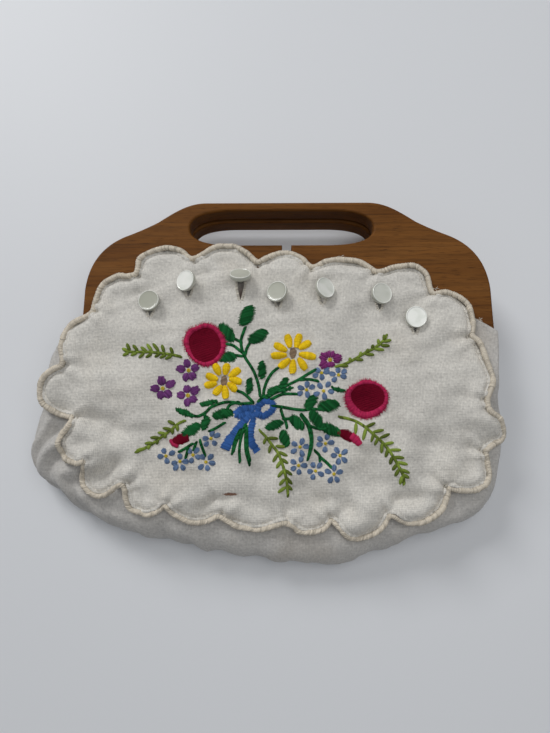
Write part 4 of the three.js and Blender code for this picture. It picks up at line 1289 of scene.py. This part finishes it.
# The greenery: stems in stem stitch, broad leaves in satin stitch with uneven edges, and feathery
# olive ferns whose barbs are single long stitches.
stems = [
    [(259, 401), (263, 396), (264, 390), (267, 381), (272, 373), (277, 368.5)],
    [(260, 395), (259, 388), (257, 380), (254, 372), (250, 365), (246, 359), (243, 353), (241, 344),
     (241.5, 338), (245, 328)],
    [(243, 353), (239, 350), (233, 345.5), (226, 344)], [(245, 355), (247, 348), (250.5, 342)],
    [(241, 342), (238, 340.5), (233, 338)], [(241, 356), (236, 355.5)],
    [(253, 402), (248, 397), (243, 393), (238, 391)],
    [(262, 398), (270, 394), (280, 389), (290, 384), (300, 379), (308, 374), (316, 369.5)],
    [(300, 380), (309, 379.5), (317.5, 381)], [(267, 398), (275, 393), (286, 389)],
    [(272, 399), (279, 395.5), (285, 394), (296, 394)],
    [(273, 406), (282, 407), (293, 409), (303, 410), (312, 409), (320, 409.5)],
    [(281, 410), (283, 416), (285.5, 421), (287, 427)], [(284, 419), (290, 418.5)],
    [(301, 415.5), (305, 421), (308.5, 428), (310.5, 438), (310, 448), (308, 459)],
    [(302, 415), (307, 421), (310.5, 428), (312, 438), (311.5, 447), (309, 456)],
    [(310, 426), (316, 428), (322, 429), (327, 428)], [(315, 451), (319, 455), (320, 460)],
    [(320, 457), (326, 462), (331, 467)],
    [(252, 403), (240, 403.5), (232, 402), (224, 402.5), (216, 405), (210, 408), (206, 412),
     (199, 416), (192, 415.5), (186, 414)],
    [(238, 402), (230, 405), (226, 411), (222, 414)], [(205, 413), (205, 417)],
    [(224, 423), (216, 428), (210, 431)], [(200, 441), (202, 447), (205, 455)],
    [(192, 444), (186, 448), (180, 451.5)], [(196, 443), (194, 449)], [(188, 449), (186, 457)],
    [(240, 430), (235, 441), (232.5, 453)], [(245, 425), (241, 438), (239.5, 450), (240, 461)],
    [(246, 427), (245.5, 440), (246, 451), (249.5, 464)],
    [(241, 430), (237, 441), (234, 451)], [(247, 429), (247, 440), (247.5, 450), (250, 460)],
]
leaves = [  # foot, tip, width
    (245, 325, 248.5, 306.5, 13), (234, 338, 219, 327, 12), (235, 355, 219, 359.5, 10),
    (252, 343, 264.5, 330, 12), (263, 378, 261, 362, 7.5), (250, 393, 249, 379, 7),
    (282, 388, 286, 378, 6.5), (268, 393, 281, 386, 6), (281, 391.5, 293, 387.5, 3.5),
    (310, 408.5, 311.5, 396, 11), (320.5, 409, 337, 402, 13), (322, 427, 310, 412, 11),
    (290, 419, 304, 426, 10), (281, 421, 267, 429, 9), (281, 432, 288.5, 445, 10),
    (322, 428, 340, 432, 11), (217, 401, 201, 405, 5), (193, 415.5, 176.5, 410, 6),
    (232, 411, 214, 417.5, 9.5), (206.5, 416.5, 204.5, 429.5, 7.5), (199, 424, 184, 436, 10),
    (332, 388, 345, 391, 4),
]
ferns = [  # stem, then each barb from its foot to its tip
    ([(180, 356.5), (171, 354.5), (160, 353), (148, 352), (135, 352), (127, 351.5)],
     [(130, 351, 127, 343.5), (138, 351, 133, 345), (147, 352, 141, 347), (152.5, 352, 147, 344),
      (159, 351.5, 153, 343.5), (164, 352, 162, 345), (173, 354, 170.5, 347.5), (128, 351.5, 122.5, 348.5),
      (129, 353, 123, 355.5), (137, 353, 131, 355.5), (144, 353.5, 139, 358), (152, 354, 146, 357.5),
      (160, 354, 155, 357), (166, 355, 160, 358), (172, 356, 165.5, 359)]),
    ([(337, 366.5), (345, 364), (355, 359), (365, 353), (376, 347), (384, 340), (386, 336)],
     [(384, 342, 391, 340), (381, 345.5, 389.5, 346), (374, 349, 384, 350), (365, 354, 374, 355),
      (355, 359.5, 363, 360), (341, 366, 348, 366), (384, 341, 384, 335), (379, 345, 378, 339.5),
      (372, 349, 373, 345), (366, 354, 368, 349), (360, 357, 361, 352), (350, 362, 350, 358)]),
    ([(184, 421), (178, 424), (171, 430), (163, 436), (155, 442), (147, 447), (137, 452)],
     [(175, 424.5, 168, 421), (172, 430, 163, 428), (166, 434, 158, 432.5), (160, 438, 150.5, 437.5),
      (153, 443, 145, 443.5), (146, 448.5, 136.5, 450.5), (177, 425, 178, 431), (173, 428.5, 172.5, 434),
      (166, 433.5, 165, 438), (158, 439.5, 157, 444), (150, 445, 148, 449)]),
    ([(260, 431), (266, 437), (272, 445), (278, 453), (282, 463), (285, 473), (287, 483), (288, 495)],
     [(266, 438, 263.5, 444), (271, 445, 269, 453), (278, 454, 273, 462), (281, 461, 276.5, 468),
      (284, 470, 278, 477), (285, 479, 279.5, 485), (286, 487, 278, 492.5), (268, 438, 278, 438.5),
      (276, 446, 285, 447), (279, 452, 287.5, 456), (282, 459, 288, 463.5), (285, 470, 292, 475),
      (286, 477, 292, 484), (287, 485, 292, 490)]),
    ([(340, 417), (349, 419), (357, 422), (365, 427), (373, 434), (381, 441), (388, 449), (394, 458),
      (399, 467), (403, 475), (404, 483)],
     [(366, 427, 375, 423), (373, 432, 383.5, 430), (380, 438, 389.5, 434), (385, 444, 393.5, 442.5),
      (390, 450, 401, 450), (394, 457, 404, 458), (397, 462, 407.5, 464.5), (400, 469, 409.5, 473),
      (402, 474, 409, 478), (356, 423, 355.5, 434), (366, 428, 363, 440), (374, 432, 371, 442),
      (378, 438, 374.5, 445), (382, 443, 381.5, 453), (388, 449, 385.5, 457), (392, 457, 390, 464),
      (397, 464, 392.5, 470), (399, 469, 395, 476), (402, 476, 400, 484)]),
]
leaf_green = thread_finish("Green wool", (0.011, 0.108, 0.030), 0.2)
olive = thread_finish("Olive wool", (0.175, 0.240, 0.040), 0.2)
stem_rows = [row for line in stems for row in stem_stitches(line)]
leaf_rows = []
for x0, y0, x1, y1, width in leaves:
    shares = np.array([0.6, 1.05, 1.2, 1.22, 1.15, 1.0, 0.6])
    leaf_rows += satin([(x0, y0), (x1, y1)], shares * width, 1.25, 0.5, 0.9, 0.6)
barbs = [row for line, _ in ferns for row in stem_stitches(line, 4.2, 0.7, thickness=1.35)]
for _, lines in ferns:
    for x0, y0, x1, y1 in lines:
        barbs.append(stitch((x0, y0), (x1, y1), 1.7, 0.6))
sew_seen("green_stems", stem_rows, 0.0018, leaf_green, 0.6)
sew_seen("green_leaves", leaf_rows, 0.0009, leaf_green, 0.45)
sew_seen("olive_ferns", barbs, 0.0013, olive, 0.5)


# A blue ribbon ties the stems: two loops, a knot and two tails, filled with stitches laid across.
ribbons = [  # line, widths along it
    ([(256, 412), (260, 404), (266, 401), (272, 402.5), (273.5, 408), (269, 413.5), (262, 416), (256, 413)],
     (7, 7, 7, 7, 6.5, 7.5, 8, 7)),
    ([(256, 408.5), (247, 408), (239, 410.5), (235.5, 414)], (6, 7.5, 8, 7)),
    ([(235.5, 414.5), (240, 416.5), (247, 414.5), (254, 412)], (6, 7, 7.5, 7)),
    ([(253, 414), (244, 421), (237, 430), (230, 440), (225, 449)], (6.5, 7.5, 8, 10, 11)),
    ([(253, 415), (252, 424), (250, 433), (251, 441), (257, 451.5)], (6.5, 7.5, 8, 8.5, 9.5)),
    ([(251, 409), (257, 413)], (7, 8)),
]
blue = thread_finish("Blue wool", (0.040, 0.115, 0.340), 0.25)
bow = [row for line, widths in ribbons for row in satin(line, widths, 0.95, 0.1, 0.7, 0.4)]
sew_seen("ribbon_bow", bow, 0.0009, blue)
white_gaps = [stitch((253.5, 410.5), (256.5, 411.8), 0.7, 0.3, 0.45),
              stitch((251, 418.5), (248.5, 423), 0.7, 0.3, 0.1)]


# Loose thread ends that stick up through the front cover, sewn with the bow's light gaps.
tufts = [(341, 257, 4.0), (435, 289, 4.5), (480, 320, 3.5)]  # place and how long, in pixels
tuft_rows = []
for across, down, length in tufts:
    for angle in hand.uniform(0, 2 * math.pi, 5):
        tip = (across + length * math.cos(angle), down + length * 0.7 * math.sin(angle))
        tuft_rows.append(stitch((across, down), tip, 0.5, 0.9))
sew_seen("thread_ends", tuft_rows + white_gaps, 0.0006, sewing_thread)


# A pale floor and soft light from a broad ceiling lamp and a high window at the upper left.
floor_mesh = bpy.data.meshes.new("Floor")
floor_mesh.from_pydata([(-3, -3, 0), (3, -3, 0), (3, 3, 0), (-3, 3, 0)], [], [(0, 1, 2, 3)])
floor = bpy.data.objects.new("Floor", floor_mesh)
floor.location.z = -0.0001
bpy.context.scene.collection.objects.link(floor)
floor_finish, floor_tree, floor_surface = new_finish("Pale floor")
floor_surface.inputs["Base Color"].default_value = (0.72, 0.735, 0.76, 1)
floor_surface.inputs["Roughness"].default_value = 0.6
floor_mesh.materials.append(floor_finish)

world = bpy.data.worlds.new("Room light")
bpy.context.scene.world = world
world.use_nodes = True
world.node_tree.nodes["Background"].inputs["Color"].default_value = (0.93, 0.96, 1.0, 1)
world.node_tree.nodes["Background"].inputs["Strength"].default_value = 0.20
bpy.context.scene.view_settings.view_transform = "Standard"
for name, spot, size, power in (("Window", (-0.9, 1.3, 1.15), 0.7, 18.0),
                                ("Ceiling", (0.30, 0.10, 1.25), 1.2, 6.3)):
    light = bpy.data.lights.new(name, "AREA")
    light.shape, light.size, light.energy = "SQUARE", size, power
    lamp = bpy.data.objects.new(name, light)
    lamp.location = spot
    lamp.rotation_euler = (Vector((0, 0, 0.02)) - Vector(spot)).to_track_quat("-Z", "Y").to_euler()
    bpy.context.scene.collection.objects.link(lamp)
